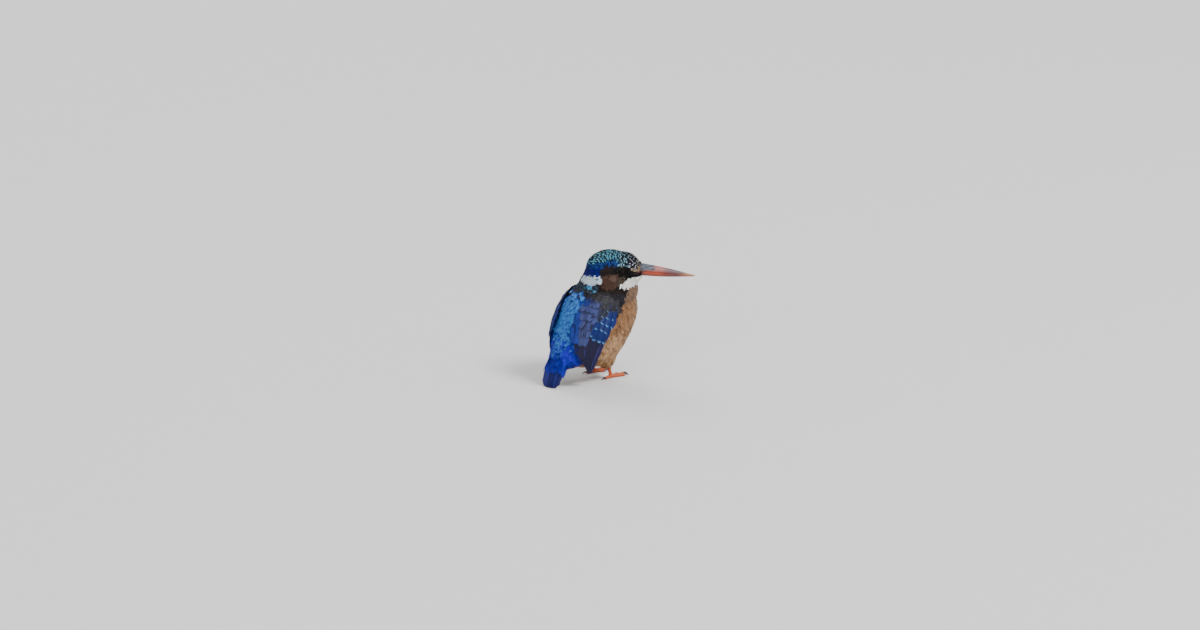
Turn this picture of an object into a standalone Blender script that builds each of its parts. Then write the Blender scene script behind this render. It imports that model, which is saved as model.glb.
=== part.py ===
"""Malachite kingfisher (Corythornis cristatus), life size, at rest with its head turned to its right.

The body faces -Y and the bird's left side is +X. It stands on z = 0 on its soles and on the tip of
its tail. Sizes are millimetres. Three sets of places are used:
  world    side (to the bird's left), forward, up, from under the tip of the tail
  trunk    side, along (up the body's axis), back (from the axis towards the back)
  head     ahead (towards the bill), side (to the head's left), up, from the head's centre
The last step sets the whole over the origin.
"""

import math

import bmesh
import bpy
from mathutils import Matrix, Vector

MM = 0.001
GAP = 0.3  # between neighbouring solids

# Pose
LEAN = math.radians(66)  # of the body's axis over the ground
AXIS_FORWARD, AXIS_UP = 31.2, 28.7  # where the body's axis starts
HEAD_TURN = math.radians(40)  # to the bird's right
HEAD_AT = (-3.0, 44.5, 64.4)

# Trunk: (along, to the back, to the belly, half width) at stations up its axis
TRUNK = (
    (-27.5, 19.0, -13.0, 4.8),
    (-24.5, 19.8, -8.5, 8.8),
    (-21.5, 20.1, 0.0, 11.4),
    (-18.0, 20.3, 11.0, 13.8),
    (-13.0, 20.5, 16.5, 16.0),
    (-6.0, 20.9, 19.6, 17.8),
    (2.0, 21.2, 22.0, 18.8),
    (10.0, 21.0, 23.6, 18.8),
    (17.0, 19.2, 24.0, 17.6),
    (23.0, 16.0, 22.8, 15.4),
    (29.0, 11.5, 19.0, 12.4),
    (34.0, 5.0, 12.0, 7.0),
)
SQUARENESS = 2.35  # 2 is an ellipse
HAUNCH = (7.4, 37.0, 12.6, 6.6, 5.2, 5.6, 60)  # feathered top of each leg

# Head: (ahead, up, half length, half width, half height, pitch in degrees)
HEAD = {
    "cranium": (-0.6, 0.7, 14.0, 10.2, 10.1, 0),
    "forehead": (8.2, 2.2, 9.2, 7.4, 7.0, -28),
    "rear crown": (-7.6, -0.2, 7.4, 8.6, 8.8, 0),
    "face": (9.0, -1.6, 9.8, 7.2, 7.0, -14),
    "bill root": (14.8, -0.9, 5.4, 4.8, 4.8, -7),
    "cheeks": (-1.0, -4.6, 12.6, 10.4, 7.6, 0),
    "throat": (6.6, -6.2, 7.2, 6.6, 5.2, 14),
    "nape": (-9.8, -6.4, 7.0, 8.8, 9.0, 0),
}
# Neck: (side, forward, up, half length, half width, half height, pitch in degrees)
NECK = {
    "neck": (-2.0, 41.0, 54.5, 14.0, 13.4, 14.0, 66),
    "hindneck": (0.5, 33.5, 54.5, 10.0, 10.0, 8.0, 62),
    "foreneck": (-6.4, 48.7, 52.4, 11.0, 10.0, 9.2, 82),
}

# Wings: (along, angle of the upper edge, of the lower edge, half width, half depth, thickness)
WING = (
    (24.0, 66, 82, 13.8, 13.0, 0.8),
    (21.5, 48, 90, 16.2, 16.8, 1.7),
    (15.0, 37, 91, 19.2, 20.4, 2.2),
    (7.0, 31, 87, 20.6, 22.4, 2.1),
    (-1.0, 29, 82, 20.9, 22.8, 1.9),
    (-8.0, 31, 80, 20.2, 22.2, 1.7),
    (-14.0, 38, 80, 18.8, 21.2, 1.5),
    (-18.0, 48, 81, 17.4, 19.8, 1.3),
    (-21.5, 60, 82, 16.2, 18.2, 1.1),
    (-24.8, 76, 82, 15.2, 16.6, 0.8),
)

# Tail
TAIL_ROOT, TAIL_TIP = -18.5, -40.4  # along the body's axis
TAIL_BACK = 19.0
TAIL_ROOT_WIDTH, TAIL_WIDTH, TAIL_THICK, TAIL_DROOP = 14.0, 17.6, 1.5, 1.6

# Bill
BILL_LENGTH = 32.4
BILL_PITCH = math.radians(-6.7)
BILL_AT = (16.2, -1.0)  # the gape line at the edge of the feathers: ahead, up
BILL_ROOT = 4.4  # inside the head
BILL_HALF_WIDTH, BILL_OVER, BILL_UNDER = 3.8, 3.9, 3.4  # at the feathers, over and under the gape line
BILL_TIP = 0.32

# Eyes
EYE_RADIUS = 2.5
EYE_AT = (5.2, 7.2, 1.0)

# Legs: places are (side, forward, up) on the left
ANKLE = (7.2, 41.0, 1.5)
KNEE = (7.6, 37.4, 11.5)
SHANK_RADIUS = 1.0
LEG_FROM = 2.6  # the height where leg and foot part
TOES = {  # turn outward, length, radius, length of the claw
    "inner": (-24, 6.2, 0.85, 2.5),
    "middle": (-3, 9.6, 1.0, 3.0),
    "outer": (13, 8.6, 0.95, 2.7),
    "hind": (172, 5.2, 0.9, 2.9),
}


def at(side, forward, up):
    return Vector((side, -forward, up)) * MM


def in_trunk(side, along, back):
    forward = AXIS_FORWARD + along * math.cos(LEAN) - back * math.sin(LEAN)
    up = AXIS_UP + along * math.sin(LEAN) + back * math.cos(LEAN)
    return at(side, forward, up)


def in_head(ahead, side, up):
    turn = HEAD_TURN
    return at(
        HEAD_AT[0] - ahead * math.sin(turn) + side * math.cos(turn),
        HEAD_AT[1] + ahead * math.cos(turn) + side * math.sin(turn),
        HEAD_AT[2] + up,
    )


def smooth_rows(rows, steps):
    """The rows of a table with steps - 1 more set between each two, on a curve through them all."""
    rows = [rows[0]] + list(rows) + [rows[-1]]
    found = []
    for before, first, last, after in zip(rows, rows[1:], rows[2:], rows[3:]):
        for step in range(steps):
            t = step / steps
            found.append(
                tuple(
                    b
                    + 0.5 * t * (c - a + t * (2 * a - 5 * b + 4 * c - d + t * (3 * (b - c) + d - a)))
                    for a, b, c, d in zip(before, first, last, after)
                )
            )
    return found + [tuple(rows[-1])]


def power(value, exponent):
    return math.copysign(abs(value) ** exponent, value)


def loft(bm, rings):
    """Adds the closed skin over rings of points of one count."""
    rows = [[bm.verts.new(point) for point in ring] for ring in rings]
    count = len(rows[0])
    faces = [bm.faces.new(rows[0][::-1]), bm.faces.new(rows[-1])]
    for low, high in zip(rows, rows[1:]):
        for i in range(count):
            j = (i + 1) % count
            faces.append(bm.faces.new((low[i], low[j], high[j], high[i])))
    bmesh.ops.recalc_face_normals(bm, faces=faces)


def tube(bm, centres, radii, sides):
    """Adds a round bar through centres, with one radius at each."""
    rings = []
    for i, centre in enumerate(centres):
        way = (centres[min(i + 1, len(centres) - 1)] - centres[max(i - 1, 0)]).normalized()
        across = way.cross(Vector((0, 0, 1)))
        if across.length < 0.2:
            across = way.cross(Vector((0, 1, 0)))
        across.normalize()
        over = across.cross(way)
        rings.append(
            [
                centre
                + radii[i] * MM * (across * math.cos(angle) + over * math.sin(angle))
                for angle in (2 * math.pi * k / sides for k in range(sides))
            ]
        )
    loft(bm, rings)


def ellipsoid(bm, centre, sizes, pitch, turn):
    """Adds an ellipsoid of half sizes (long, wide, high), its long axis forward, raised and turned."""
    long, wide, high = sizes
    place = (
        Matrix.Translation(centre)
        @ Matrix.Rotation(-turn, 4, "Z")
        @ Matrix.Rotation(-pitch, 4, "X")
        @ Matrix.Diagonal((wide * MM, long * MM, high * MM, 1))
    )
    bmesh.ops.create_uvsphere(bm, u_segments=32, v_segments=20, radius=1, matrix=place)


def material(name, colour, roughness):
    made = bpy.data.materials.new(name)
    made.use_nodes = True
    shader = made.node_tree.nodes["Principled BSDF"]
    shader.inputs["Base Color"].default_value = (*colour, 1)
    shader.inputs["Roughness"].default_value = roughness
    return made


def add(name, bm, look, collection):
    """One object of the bird, from a mesh in the world's place."""
    mesh = bpy.data.meshes.new(name)
    bm.to_mesh(mesh)
    bm.free()
    mesh.shade_smooth()
    mesh.materials.append(look)
    made = bpy.data.objects.new(name, mesh)
    collection.objects.link(made)
    return made


def evaluated_bmesh(obj):
    """The object's mesh with its modifiers done, for the cuts that follow."""
    bpy.context.view_layer.update()
    mesh = bpy.data.meshes.new_from_object(obj.evaluated_get(bpy.context.evaluated_depsgraph_get()))
    bm = bmesh.new()
    bm.from_mesh(mesh)
    bpy.data.meshes.remove(mesh)
    return bm


def melt(name, bm, voxel, rounds, keep, collection):
    """One soft form from shapes that cross: remeshed, smoothed and thinned to a share of its faces."""
    form = add(name, bm, material(name, (0.5, 0.5, 0.5), 0.8), collection)
    remesh = form.modifiers.new("one skin", "REMESH")
    remesh.mode = "VOXEL"
    remesh.voxel_size = voxel * MM
    soften = form.modifiers.new("soften", "SMOOTH")
    soften.factor = 0.5
    soften.iterations = rounds
    thin = form.modifiers.new("thin", "DECIMATE")
    thin.ratio = keep
    melted = evaluated_bmesh(form)
    bpy.data.objects.remove(form)
    bmesh.ops.triangulate(melted, faces=melted.faces)
    return melted


def cut(bm, point, normal, keep_above):
    """Cuts bm with a plane, keeps one side of it and closes the cut."""
    bmesh.ops.bisect_plane(
        bm,
        geom=bm.verts[:] + bm.edges[:] + bm.faces[:],
        plane_co=point,
        plane_no=normal,
        clear_inner=keep_above,
        clear_outer=not keep_above,
    )
    rim = [edge for edge in bm.edges if edge.is_boundary]
    filled = bmesh.ops.holes_fill(bm, edges=rim, sides=0)
    bmesh.ops.triangulate(bm, faces=filled["faces"])


def part_in_two(bm, point, normal):
    """The pieces of bm over and under a plane, with the gap between them."""
    over, under = bm, bm.copy()
    half = normal.normalized() * GAP * MM / 2
    cut(over, point + half, normal, True)
    cut(under, point - half, normal, False)
    return over, under


def carve(target, piece, cutters):
    """Cuts from target the room for piece and the gap round it."""
    cutter = piece.copy()
    cutter.data = piece.data.copy()
    cutter.name = "room for " + piece.name
    piece.users_collection[0].objects.link(cutter)
    piece.users_collection[0].objects.unlink(cutter)
    cutters.objects.link(cutter)
    cutter.hide_render = True
    cutter.display_type = "WIRE"
    grow = cutter.modifiers.new("gap", "DISPLACE")
    grow.strength = GAP * MM
    grow.mid_level = 0
    room = target.modifiers.new("room for " + piece.name, "BOOLEAN")
    room.operation = "DIFFERENCE"
    room.object = cutter


def section(along, back, belly, half_width, angles):
    """Points round a section across the body's axis; the angles run from the back to the left side."""
    middle, half = (back - belly) / 2, (back + belly) / 2
    return [
        in_trunk(
            half_width * power(math.sin(angle), 2 / SQUARENESS),
            along,
            middle + half * power(math.cos(angle), 2 / SQUARENESS),
        )
        for angle in angles
    ]


def flesh(collection):
    """Head, neck and trunk as one soft form."""
    bm = bmesh.new()
    round_angles = [2 * math.pi * k / 48 for k in range(48)]
    loft(bm, [section(*row, round_angles) for row in smooth_rows(TRUNK, 3)])
    for side, forward, up, long, wide, high, pitch in NECK.values():
        ellipsoid(bm, at(side, forward, up), (long, wide, high), math.radians(pitch), 0.0)
    side, forward, up, long, wide, high, pitch = HAUNCH
    for hand in (1, -1):
        ellipsoid(bm, at(hand * side, forward, up), (long, wide, high), math.radians(pitch), 0.0)
    for ahead, up, long, wide, high, pitch in HEAD.values():
        ellipsoid(bm, in_head(ahead, 0, up), (long, wide, high), math.radians(pitch), HEAD_TURN)
    return melt("flesh", bm, 0.7, 16, 0.048, collection)


def wing(hand):
    """A folded wing: a plate bent round the body, thinner at its edges."""
    bm = bmesh.new()
    rings = []
    count = 7
    for along, upper, lower, half_width, half_depth, thick in smooth_rows(WING, 2):
        outer, inner = [], []
        for k in range(count):
            across = k / (count - 1)
            angle = math.radians(upper + (lower - upper) * across) * hand
            depth = max(0.6, thick * (0.4 + 0.6 * math.sin(math.pi * across)))
            outer += section(along, half_depth, half_depth, half_width, [angle])
            inner += section(along, half_depth - depth, half_depth - depth, half_width - depth, [angle])
        rings.append(outer + inner[::-1])
    loft(bm, rings)
    return bm


def tail():
    """The closed fan of tail feathers, resting on its tip."""
    bm = bmesh.new()
    rings = []
    steps, count = 10, 9
    for step in range(steps + 1):
        t = step / steps
        along = TAIL_ROOT + (TAIL_TIP - TAIL_ROOT) * t
        width = TAIL_ROOT_WIDTH + (TAIL_WIDTH - TAIL_ROOT_WIDTH) * min(1, 1.6 * t)
        rounding = max(0.0, (t - 0.5) / 0.5)
        half_width = width / 2 * math.sqrt(1 - 0.75 * rounding**2)
        top, bottom = [], []
        for k in range(count):
            across = 2 * k / (count - 1) - 1
            back = TAIL_BACK - TAIL_DROOP * across**2
            thick = TAIL_THICK * (1 - 0.45 * across**2)
            top.append(in_trunk(half_width * across, along, back))
            bottom.append(in_trunk(half_width * across, along, back - thick))
        rings.append(top + bottom[::-1])
    loft(bm, rings)
    cut(bm, Vector((0, 0, 0)), Vector((0, 0, 1)), True)
    return bm


def along_bill(t, side, up):
    """A place on the bill, t from the edge of the feathers to the tip, up from the gape line."""
    ahead = BILL_LENGTH * t
    return in_head(
        BILL_AT[0] + ahead * math.cos(BILL_PITCH) - up * math.sin(BILL_PITCH),
        side,
        BILL_AT[1] + ahead * math.sin(BILL_PITCH) + up * math.cos(BILL_PITCH),
    )


def bill(over):
    """The upper half of the bill, or the lower, each flat at the gape line."""
    bm = bmesh.new()
    rings = []
    steps = 12
    hand, height = (1, BILL_OVER) if over else (-1, BILL_UNDER)
    for step in range(-2, steps + 1):
        t = step / steps if step >= 0 else step * BILL_ROOT / 2 / BILL_LENGTH
        taper = 1 - max(t, 0) ** (1.45 if over else 1.8)
        half_width = BILL_TIP + (BILL_HALF_WIDTH - BILL_TIP) * (1 - max(t, 0) ** 1.05)
        rise = BILL_TIP + (height - BILL_TIP) * taper
        ring = []
        for k in range(9):
            angle = math.pi * k / 8
            side = half_width * power(math.cos(angle), 0.85)
            up = GAP / 2 + (rise - GAP / 2) * math.sin(angle) ** 0.9
            ring.append(along_bill(t, side, hand * up))
        rings.append(ring)
    loft(bm, rings)
    return bm


def eye(hand):
    ahead, side, up = EYE_AT
    bm = bmesh.new()
    place = Matrix.Translation(in_head(ahead, hand * side, up))
    bmesh.ops.create_uvsphere(bm, u_segments=16, v_segments=10, radius=EYE_RADIUS * MM, matrix=place)
    return bm


def leg(hand):
    """The bare shank, from the foot into the feathers of the haunch."""
    bm = bmesh.new()
    ankle, knee = (Vector(at(hand * side, forward, up)) for side, forward, up in (ANKLE, KNEE))
    steps = (0.0, 0.15, 0.4, 0.7, 1.0)
    radii = [SHANK_RADIUS * (1.15 - 0.3 * math.sin(math.pi * t) + 0.25 * t) for t in steps]
    tube(bm, [ankle.lerp(knee, t) for t in steps], radii, 12)
    cut(bm, Vector((0, 0, LEG_FROM * MM)), Vector((0, 0, 1)), True)
    return bm


def toe_place(hand, turn, reach, up):
    angle = math.radians(turn)
    return at(hand * (ANKLE[0] + reach * math.sin(angle)), ANKLE[1] + reach * math.cos(angle), up)


def foot(hand, collection):
    """Four toes in one piece, the outer and middle ones grown together, with flat soles."""
    bm = bmesh.new()
    ellipsoid(bm, at(hand * ANKLE[0], ANKLE[1], ANKLE[2]), (1.6, 1.5, 1.7), 0.0, 0.0)
    for turn, length, radius, _ in TOES.values():
        steps = (0.0, 0.2, 0.4, 0.6, 0.8, 1.0)
        centres = [toe_place(hand, turn, t * length, radius * (1.15 - 0.3 * t)) for t in steps]
        radii = [radius * (1.25 - 0.4 * t + 0.1 * math.cos(4 * math.pi * t)) for t in steps]
        tube(bm, centres, radii, 12)
    made = melt("foot", bm, 0.22, 3, 0.045, collection)
    cut(made, Vector((0, 0, 0)), Vector((0, 0, 1)), True)
    cut(made, Vector((0, 0, (LEG_FROM - GAP) * MM)), Vector((0, 0, 1)), False)
    return made


def claw(hand, toe):
    """A curved horn that starts where its toe ends and comes down just over the ground."""
    turn, length, radius, reach = TOES[toe]
    bm = bmesh.new()
    centres, radii = [], []
    for step in range(7):
        t = step / 6
        up = radius * 0.95 + 0.45 * math.sin(math.pi * t) - (radius * 0.95 - 0.3) * t**1.5
        centres.append(toe_place(hand, turn, length + GAP + 0.15 + reach * t, up))
        radii.append(radius * 0.62 * (1 - t) ** 0.7 + 0.14)
    tube(bm, centres, radii, 8)
    return bm


def centre_on_floor(objects):
    """Moves the bird so that the middle of its box is over the origin."""
    bpy.context.view_layer.update()
    corners = [obj.matrix_world @ Vector(corner) for obj in objects for corner in obj.bound_box]
    for axis in (0, 1):
        values = [corner[axis] for corner in corners]
        for obj in bpy.data.objects:
            obj.location[axis] -= (min(values) + max(values)) / 2


def main():
    for obj in list(bpy.data.objects):
        bpy.data.objects.remove(obj)
    bird = bpy.data.collections.new("kingfisher")
    cutters = bpy.data.collections.new("cutters")
    bpy.context.scene.collection.children.link(bird)
    bpy.context.scene.collection.children.link(cutters)

    blue = material("azure feathers", (0.01, 0.12, 0.5), 0.45)
    violet = material("ultramarine feathers", (0.01, 0.02, 0.25), 0.45)
    crown = material("barred crown feathers", (0.01, 0.12, 0.2), 0.5)
    red = material("orange-red horn", (0.45, 0.07, 0.02), 0.35)
    skin = material("orange-red skin", (0.6, 0.12, 0.04), 0.5)
    black = material("dark horn", (0.02, 0.015, 0.012), 0.35)
    wet = material("eye", (0.01, 0.006, 0.004), 0.05)

    body = flesh(bird)
    upper, trunk_bm = part_in_two(body, in_trunk(0, 25.5, 0), in_trunk(0, 1, 0) - in_trunk(0, 0, 0))
    head_bm, neck_bm = part_in_two(upper, at(-2.5, 42, 56.5), Vector((0, -0.25, 1)))
    trunk = add("trunk", trunk_bm, blue, bird)
    head = add("head", head_bm, crown, bird)
    add("neck", neck_bm, blue, bird)

    fan = add("tail", tail(), violet, bird)
    carve(trunk, fan, cutters)
    for over, name in ((True, "bill_upper"), (False, "bill_lower")):
        carve(head, add(name, bill(over), red, bird), cutters)
    for hand, name in ((1, "left"), (-1, "right")):
        carve(trunk, add("wing_" + name, wing(hand), violet, bird), cutters)
        carve(trunk, add("leg_" + name, leg(hand), skin, bird), cutters)
        carve(head, add("eye_" + name, eye(hand), wet, bird), cutters)
        add("foot_" + name, foot(hand, bird), skin, bird)
        for toe in TOES:
            add(f"claw_{toe}_{name}", claw(hand, toe), black, bird)
    centre_on_floor(bird.objects)


main()
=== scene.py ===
"""The looks of a life-size malachite kingfisher: one skin under a coat of separate vaned feathers.

Sizes are millimetres until a mesh is made. Places are given in two sets of axes as well as the world's:
  head     ahead (towards the bill), side (to the head's left), up, from the head's centre
  trunk    side (to the bird's left), along (up the body's axis), back (from the axis towards the back)
"""

import math
from collections import namedtuple

import bmesh
import bpy
import numpy as np
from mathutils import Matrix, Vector
from mathutils.bvhtree import BVHTree


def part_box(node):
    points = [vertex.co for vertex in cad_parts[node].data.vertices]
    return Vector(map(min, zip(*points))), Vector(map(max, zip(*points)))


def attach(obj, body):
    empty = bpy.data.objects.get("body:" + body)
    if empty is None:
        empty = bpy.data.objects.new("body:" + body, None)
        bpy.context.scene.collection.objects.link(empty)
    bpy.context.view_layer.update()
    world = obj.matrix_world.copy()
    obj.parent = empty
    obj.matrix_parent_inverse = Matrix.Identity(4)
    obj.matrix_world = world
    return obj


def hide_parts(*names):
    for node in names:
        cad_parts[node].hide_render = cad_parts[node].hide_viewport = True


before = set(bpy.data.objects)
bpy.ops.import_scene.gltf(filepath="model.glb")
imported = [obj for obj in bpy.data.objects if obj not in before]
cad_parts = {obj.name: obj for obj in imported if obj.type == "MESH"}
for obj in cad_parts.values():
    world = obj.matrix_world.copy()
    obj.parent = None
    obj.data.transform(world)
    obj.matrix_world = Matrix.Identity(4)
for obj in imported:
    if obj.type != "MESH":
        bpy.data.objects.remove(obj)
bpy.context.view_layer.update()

MM = 0.001
SEED = 7
UP = np.array((0.0, 0.0, 1.0))
LEFT = np.array((1.0, 0.0, 0.0))
HANDS = {"left": 1, "right": -1}

# Places that the frame's eyes carry: the eyes in the head, and the axis of the body from between them
EYE_AHEAD, EYE_UP, EYE_RADIUS = 5.2, 1.0, 2.5
EYE_STRETCH = 1.06  # how much longer than high the opening of an eye is
EYES_TO_AXIS = np.array((6.34, 17.28, -36.7))
LEAN = math.radians(66)
ALONG = np.array((0.0, -math.cos(LEAN), math.sin(LEAN)))
BACK = np.array((0.0, math.sin(LEAN), math.cos(LEAN)))

# Skin
FLESH = ("head", "neck", "trunk", "tail", "wing_left", "wing_right")
FEET = ("leg_left", "leg_right", "foot_left", "foot_right")
JOIN = 0.22  # how far the flesh grows to close the cuts between its nodes
VOXEL, SOFTENING = 0.5, 8  # of the remesh, and how often it is smoothed
EYE_FILLER = (3.3, 2.6, 3.3)  # half sizes of what fills the flesh behind each eye
BILL_FILLER, BILL_FILLER_AT = (4.2, 3.7, 3.7), (13.2, 0, -0.9)  # and behind the bill
BODY_DEPTH, HEAD_DEPTH, FACE_DEPTH, WING_DEPTH, TAIL_DEPTH = 1.1, 0.65, 0.4, 0.75, 0.4
THIN_SHARE = 0.35  # of a thin place's thickness, at most, is coat
SKIN_TIP_SHARE = 0.02  # of the feathers' tips in the colour of the skin under them

# Trunk: (along, how far back the middle of its section is)
TRUNK_MIDDLE = (
    (-27.5, 16.0),
    (-24.5, 14.2),
    (-21.5, 10.0),
    (-18.0, 4.7),
    (-13.0, 2.0),
    (2.0, -0.4),
    (29.0, -3.8),
)

# Folded wing round the trunk's axis: (along, angle of its upper edge, of its lower edge,
# half width, half depth)
WING = (
    (24.0, 66, 82, 13.8, 13.0),
    (21.5, 48, 90, 16.2, 16.8),
    (15.0, 37, 91, 19.2, 20.4),
    (7.0, 31, 87, 20.6, 22.4),
    (-1.0, 29, 82, 20.9, 22.8),
    (-8.0, 31, 80, 20.2, 22.2),
    (-14.0, 38, 80, 18.8, 21.2),
    (-18.0, 48, 81, 17.4, 19.8),
    (-21.5, 60, 82, 16.2, 18.2),
    (-24.8, 76, 82, 15.2, 16.6),
)
WING_TOP, WING_LENGTH = 24.0, 48.8  # along the trunk's axis
WING_OUTSIDE = 0.88  # how far out a wing's skin starts, as a share of its section
SQUARENESS = 2.35  # of the sections; 2 is an ellipse

# Tail: along the trunk, and back from it
TAIL_ROOT, TAIL_TIP, TAIL_BACK = -15.0, -39.7, 19.0
TAIL_HALF_WIDTH, TAIL_THICK, TAIL_DROOP = 8.5, 1.3, 1.6
TAIL_ROOT_SPREAD, TAIL_INSET = 3.2, 1.6  # of its feathers' middles: from its middle, and from its edge
TAIL_ROUNDING = 2.4  # how much shorter its outermost feathers are

# Bill, from its root in the head's axes (ahead, up)
BILL_LENGTH, BILL_PITCH, BILL_AT = 32.4, math.radians(-6.7), (16.2, -1.0)
BILL_HALF_WIDTH, BILL_OVER, BILL_UNDER, BILL_TIP, BILL_ROOT = 3.8, 3.9, 3.4, 0.3, 3.8
BILL_EDGE = 0.12  # half of the groove between the cutting edges

# Legs and toes, from the middle of the shank at its foot
ANKLE_UP, KNEE_UP, KNEE_BACK, SHANK_RADIUS = 1.6, 12.5, 3.9, 0.95
Toe = namedtuple("Toe", "turn length radius claw")
TOES = {
    "inner": Toe(-24, 6.2, 0.85, 2.5),
    "middle": Toe(-3, 9.6, 1.0, 3.0),
    "outer": Toe(13, 8.6, 0.95, 2.7),
    "hind": Toe(172, 5.2, 0.9, 2.9),
}
BALL = (1.75, 1.65, 1.35)  # half sizes of the ball of the foot
LEG_COLOUR = (0.42, 0.085, 0.030)
CLAW_ROOT_COLOUR, CLAW_TIP_COLOUR = (0.045, 0.018, 0.012), (0.008, 0.006, 0.006)

# Camera: from behind the bird's right side, with the tip of the bill at a set place in the picture
AZIMUTH, ELEVATION = math.radians(230), math.radians(15)
VIEW_WIDTH, LENS, SENSOR = 696.0, 200.0, 36.0
BILL_TIP_IN_VIEW = (55.2, 22.8)  # to the right of the middle, and up


# ---------------------------------------------------------------- places


def unit(vectors):
    """Vectors of unit length."""
    return vectors / np.maximum(np.linalg.norm(vectors, axis=-1, keepdims=True), 1e-9)


def middle_of(node):
    """The middle of a node's box."""
    low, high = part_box(node)
    return (np.array(low) + np.array(high)) / 2 / MM


EYES = {name: middle_of("eye_" + name) for name in HANDS}
BETWEEN_EYES = (EYES["left"] + EYES["right"]) / 2
HEAD_LEFT = unit(EYES["left"] - EYES["right"])
AHEAD = np.cross(HEAD_LEFT, UP)
HEAD_AXES = np.array((AHEAD, HEAD_LEFT, UP))
HEAD_CENTRE = BETWEEN_EYES - EYE_AHEAD * AHEAD - EYE_UP * UP
TRUNK_AXES = np.array((LEFT, ALONG, BACK))
AXIS_START = BETWEEN_EYES + EYES_TO_AXIS


def to_head(points):
    """The places of points in the head's axes."""
    return (points - HEAD_CENTRE) @ HEAD_AXES.T


def from_head(places):
    """The points at places in the head's axes."""
    return np.asarray(places, float) @ HEAD_AXES + HEAD_CENTRE


def to_trunk(points):
    """The places of points in the trunk's axes."""
    return (points - AXIS_START) @ TRUNK_AXES.T


def from_trunk(places):
    """The points at places in the trunk's axes."""
    return np.asarray(places, float) @ TRUNK_AXES + AXIS_START


def round_trunk(points):
    """How far along the trunk points are, and their angle from the back round its middle, in degrees."""
    side, along, back = to_trunk(points).T
    middle = np.interp(along, *np.array(TRUNK_MIDDLE).T)
    return along, np.degrees(np.arctan2(np.abs(side), back - middle))


def smooth(value, low, high):
    """0 under low, 1 over high, and a smooth rise between."""
    t = np.clip((value - low) / (high - low), 0, 1)
    return t * t * (3 - 2 * t)


def mix(first, last, share):
    """A share of the way from the first to the last."""
    return first + (last - first) * share


# ---------------------------------------------------------------- meshes


class Surface:
    """A mesh in millimetres that gives the nearest place on it, with its smooth normal."""

    def __init__(self, points, faces):
        self.points = points
        self.faces = faces
        a, b, c = (points[faces[:, k]] for k in range(3))
        cross = np.cross(b - a, c - a)
        self.areas = np.linalg.norm(cross, axis=1) / 2
        normals = np.zeros_like(points)
        for k in range(3):
            np.add.at(normals, faces[:, k], cross)
        self.normals = unit(normals)
        self.face_normals = unit(self.normals[faces].sum(axis=1))
        self.tree = BVHTree.FromPolygons(points.tolist(), faces.tolist())

    def nearest(self, points):
        """The nearest places to points, and the normals there."""
        found = [self.tree.find_nearest(point) for point in points.tolist()]
        places = np.array([place[:] for place, _, _, _ in found])
        return places, self.face_normals[[index for _, _, index, _ in found]]

    def cast(self, origins, ways):
        """Where rays first meet the surface, and whether they meet it."""
        places = origins.copy()
        met = np.zeros(len(origins), bool)
        for i, (origin, way) in enumerate(zip(origins.tolist(), ways.tolist())):
            place = self.tree.ray_cast(origin, way)[0]
            if place is not None:
                places[i] = place[:]
                met[i] = True
        return places, met


def arrays_of(mesh):
    """Points in millimetres and triangles of a Blender mesh."""
    mesh.calc_loop_triangles()
    points = np.empty(len(mesh.vertices) * 3)
    mesh.vertices.foreach_get("co", points)
    faces = np.empty(len(mesh.loop_triangles) * 3, np.int32)
    mesh.loop_triangles.foreach_get("vertices", faces)
    return points.reshape(-1, 3) / MM, faces.reshape(-1, 3)


def link(name, data):
    """An object in the scene with this mesh, light or camera."""
    made = bpy.data.objects.new(name, data)
    bpy.context.scene.collection.objects.link(made)
    return made


def mesh_of(name, points, faces, colours, uvs=None, webs=None):
    """A smooth triangle mesh from arrays, with its colours, and its map and places on the vane if given."""
    mesh = bpy.data.meshes.new(name)
    mesh.vertices.add(len(points))
    mesh.vertices.foreach_set("co", (np.asarray(points) * MM).ravel())
    mesh.loops.add(faces.size)
    mesh.loops.foreach_set("vertex_index", faces.ravel().astype(np.int32))
    mesh.polygons.add(len(faces))
    mesh.polygons.foreach_set("loop_start", np.arange(0, faces.size, 3, dtype=np.int32))
    mesh.polygons.foreach_set("loop_total", np.full(len(faces), 3, np.int32))
    mesh.polygons.foreach_set("use_smooth", np.ones(len(faces), bool))
    layer = mesh.color_attributes.new("markings", "FLOAT_COLOR", "POINT")
    layer.data.foreach_set("color", np.column_stack((colours, np.ones(len(colours)))).ravel())
    if uvs is not None:
        layer = mesh.uv_layers.new(name="OFBake")
        layer.data.foreach_set("uv", uvs[faces.ravel()].ravel())
    if webs is not None:
        layer = mesh.attributes.new("web", "FLOAT_VECTOR", "POINT")
        layer.data.foreach_set("vector", webs.ravel())
    mesh.update()
    mesh.validate()
    return mesh


def piece_of(name, arrays, material):
    """A piece made of a mesh's arrays, in one material."""
    made = link(name, mesh_of(name, *arrays))
    made.data.materials.append(material)
    return made


def sphere(bm, centre, radii, axes):
    """Adds an ellipsoid with these radii along these axes."""
    made = bmesh.ops.create_uvsphere(bm, u_segments=32, v_segments=20, radius=1)
    for vert in made["verts"]:
        vert.co = Vector(centre + (np.array(vert.co) * radii) @ axes) * MM


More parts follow.
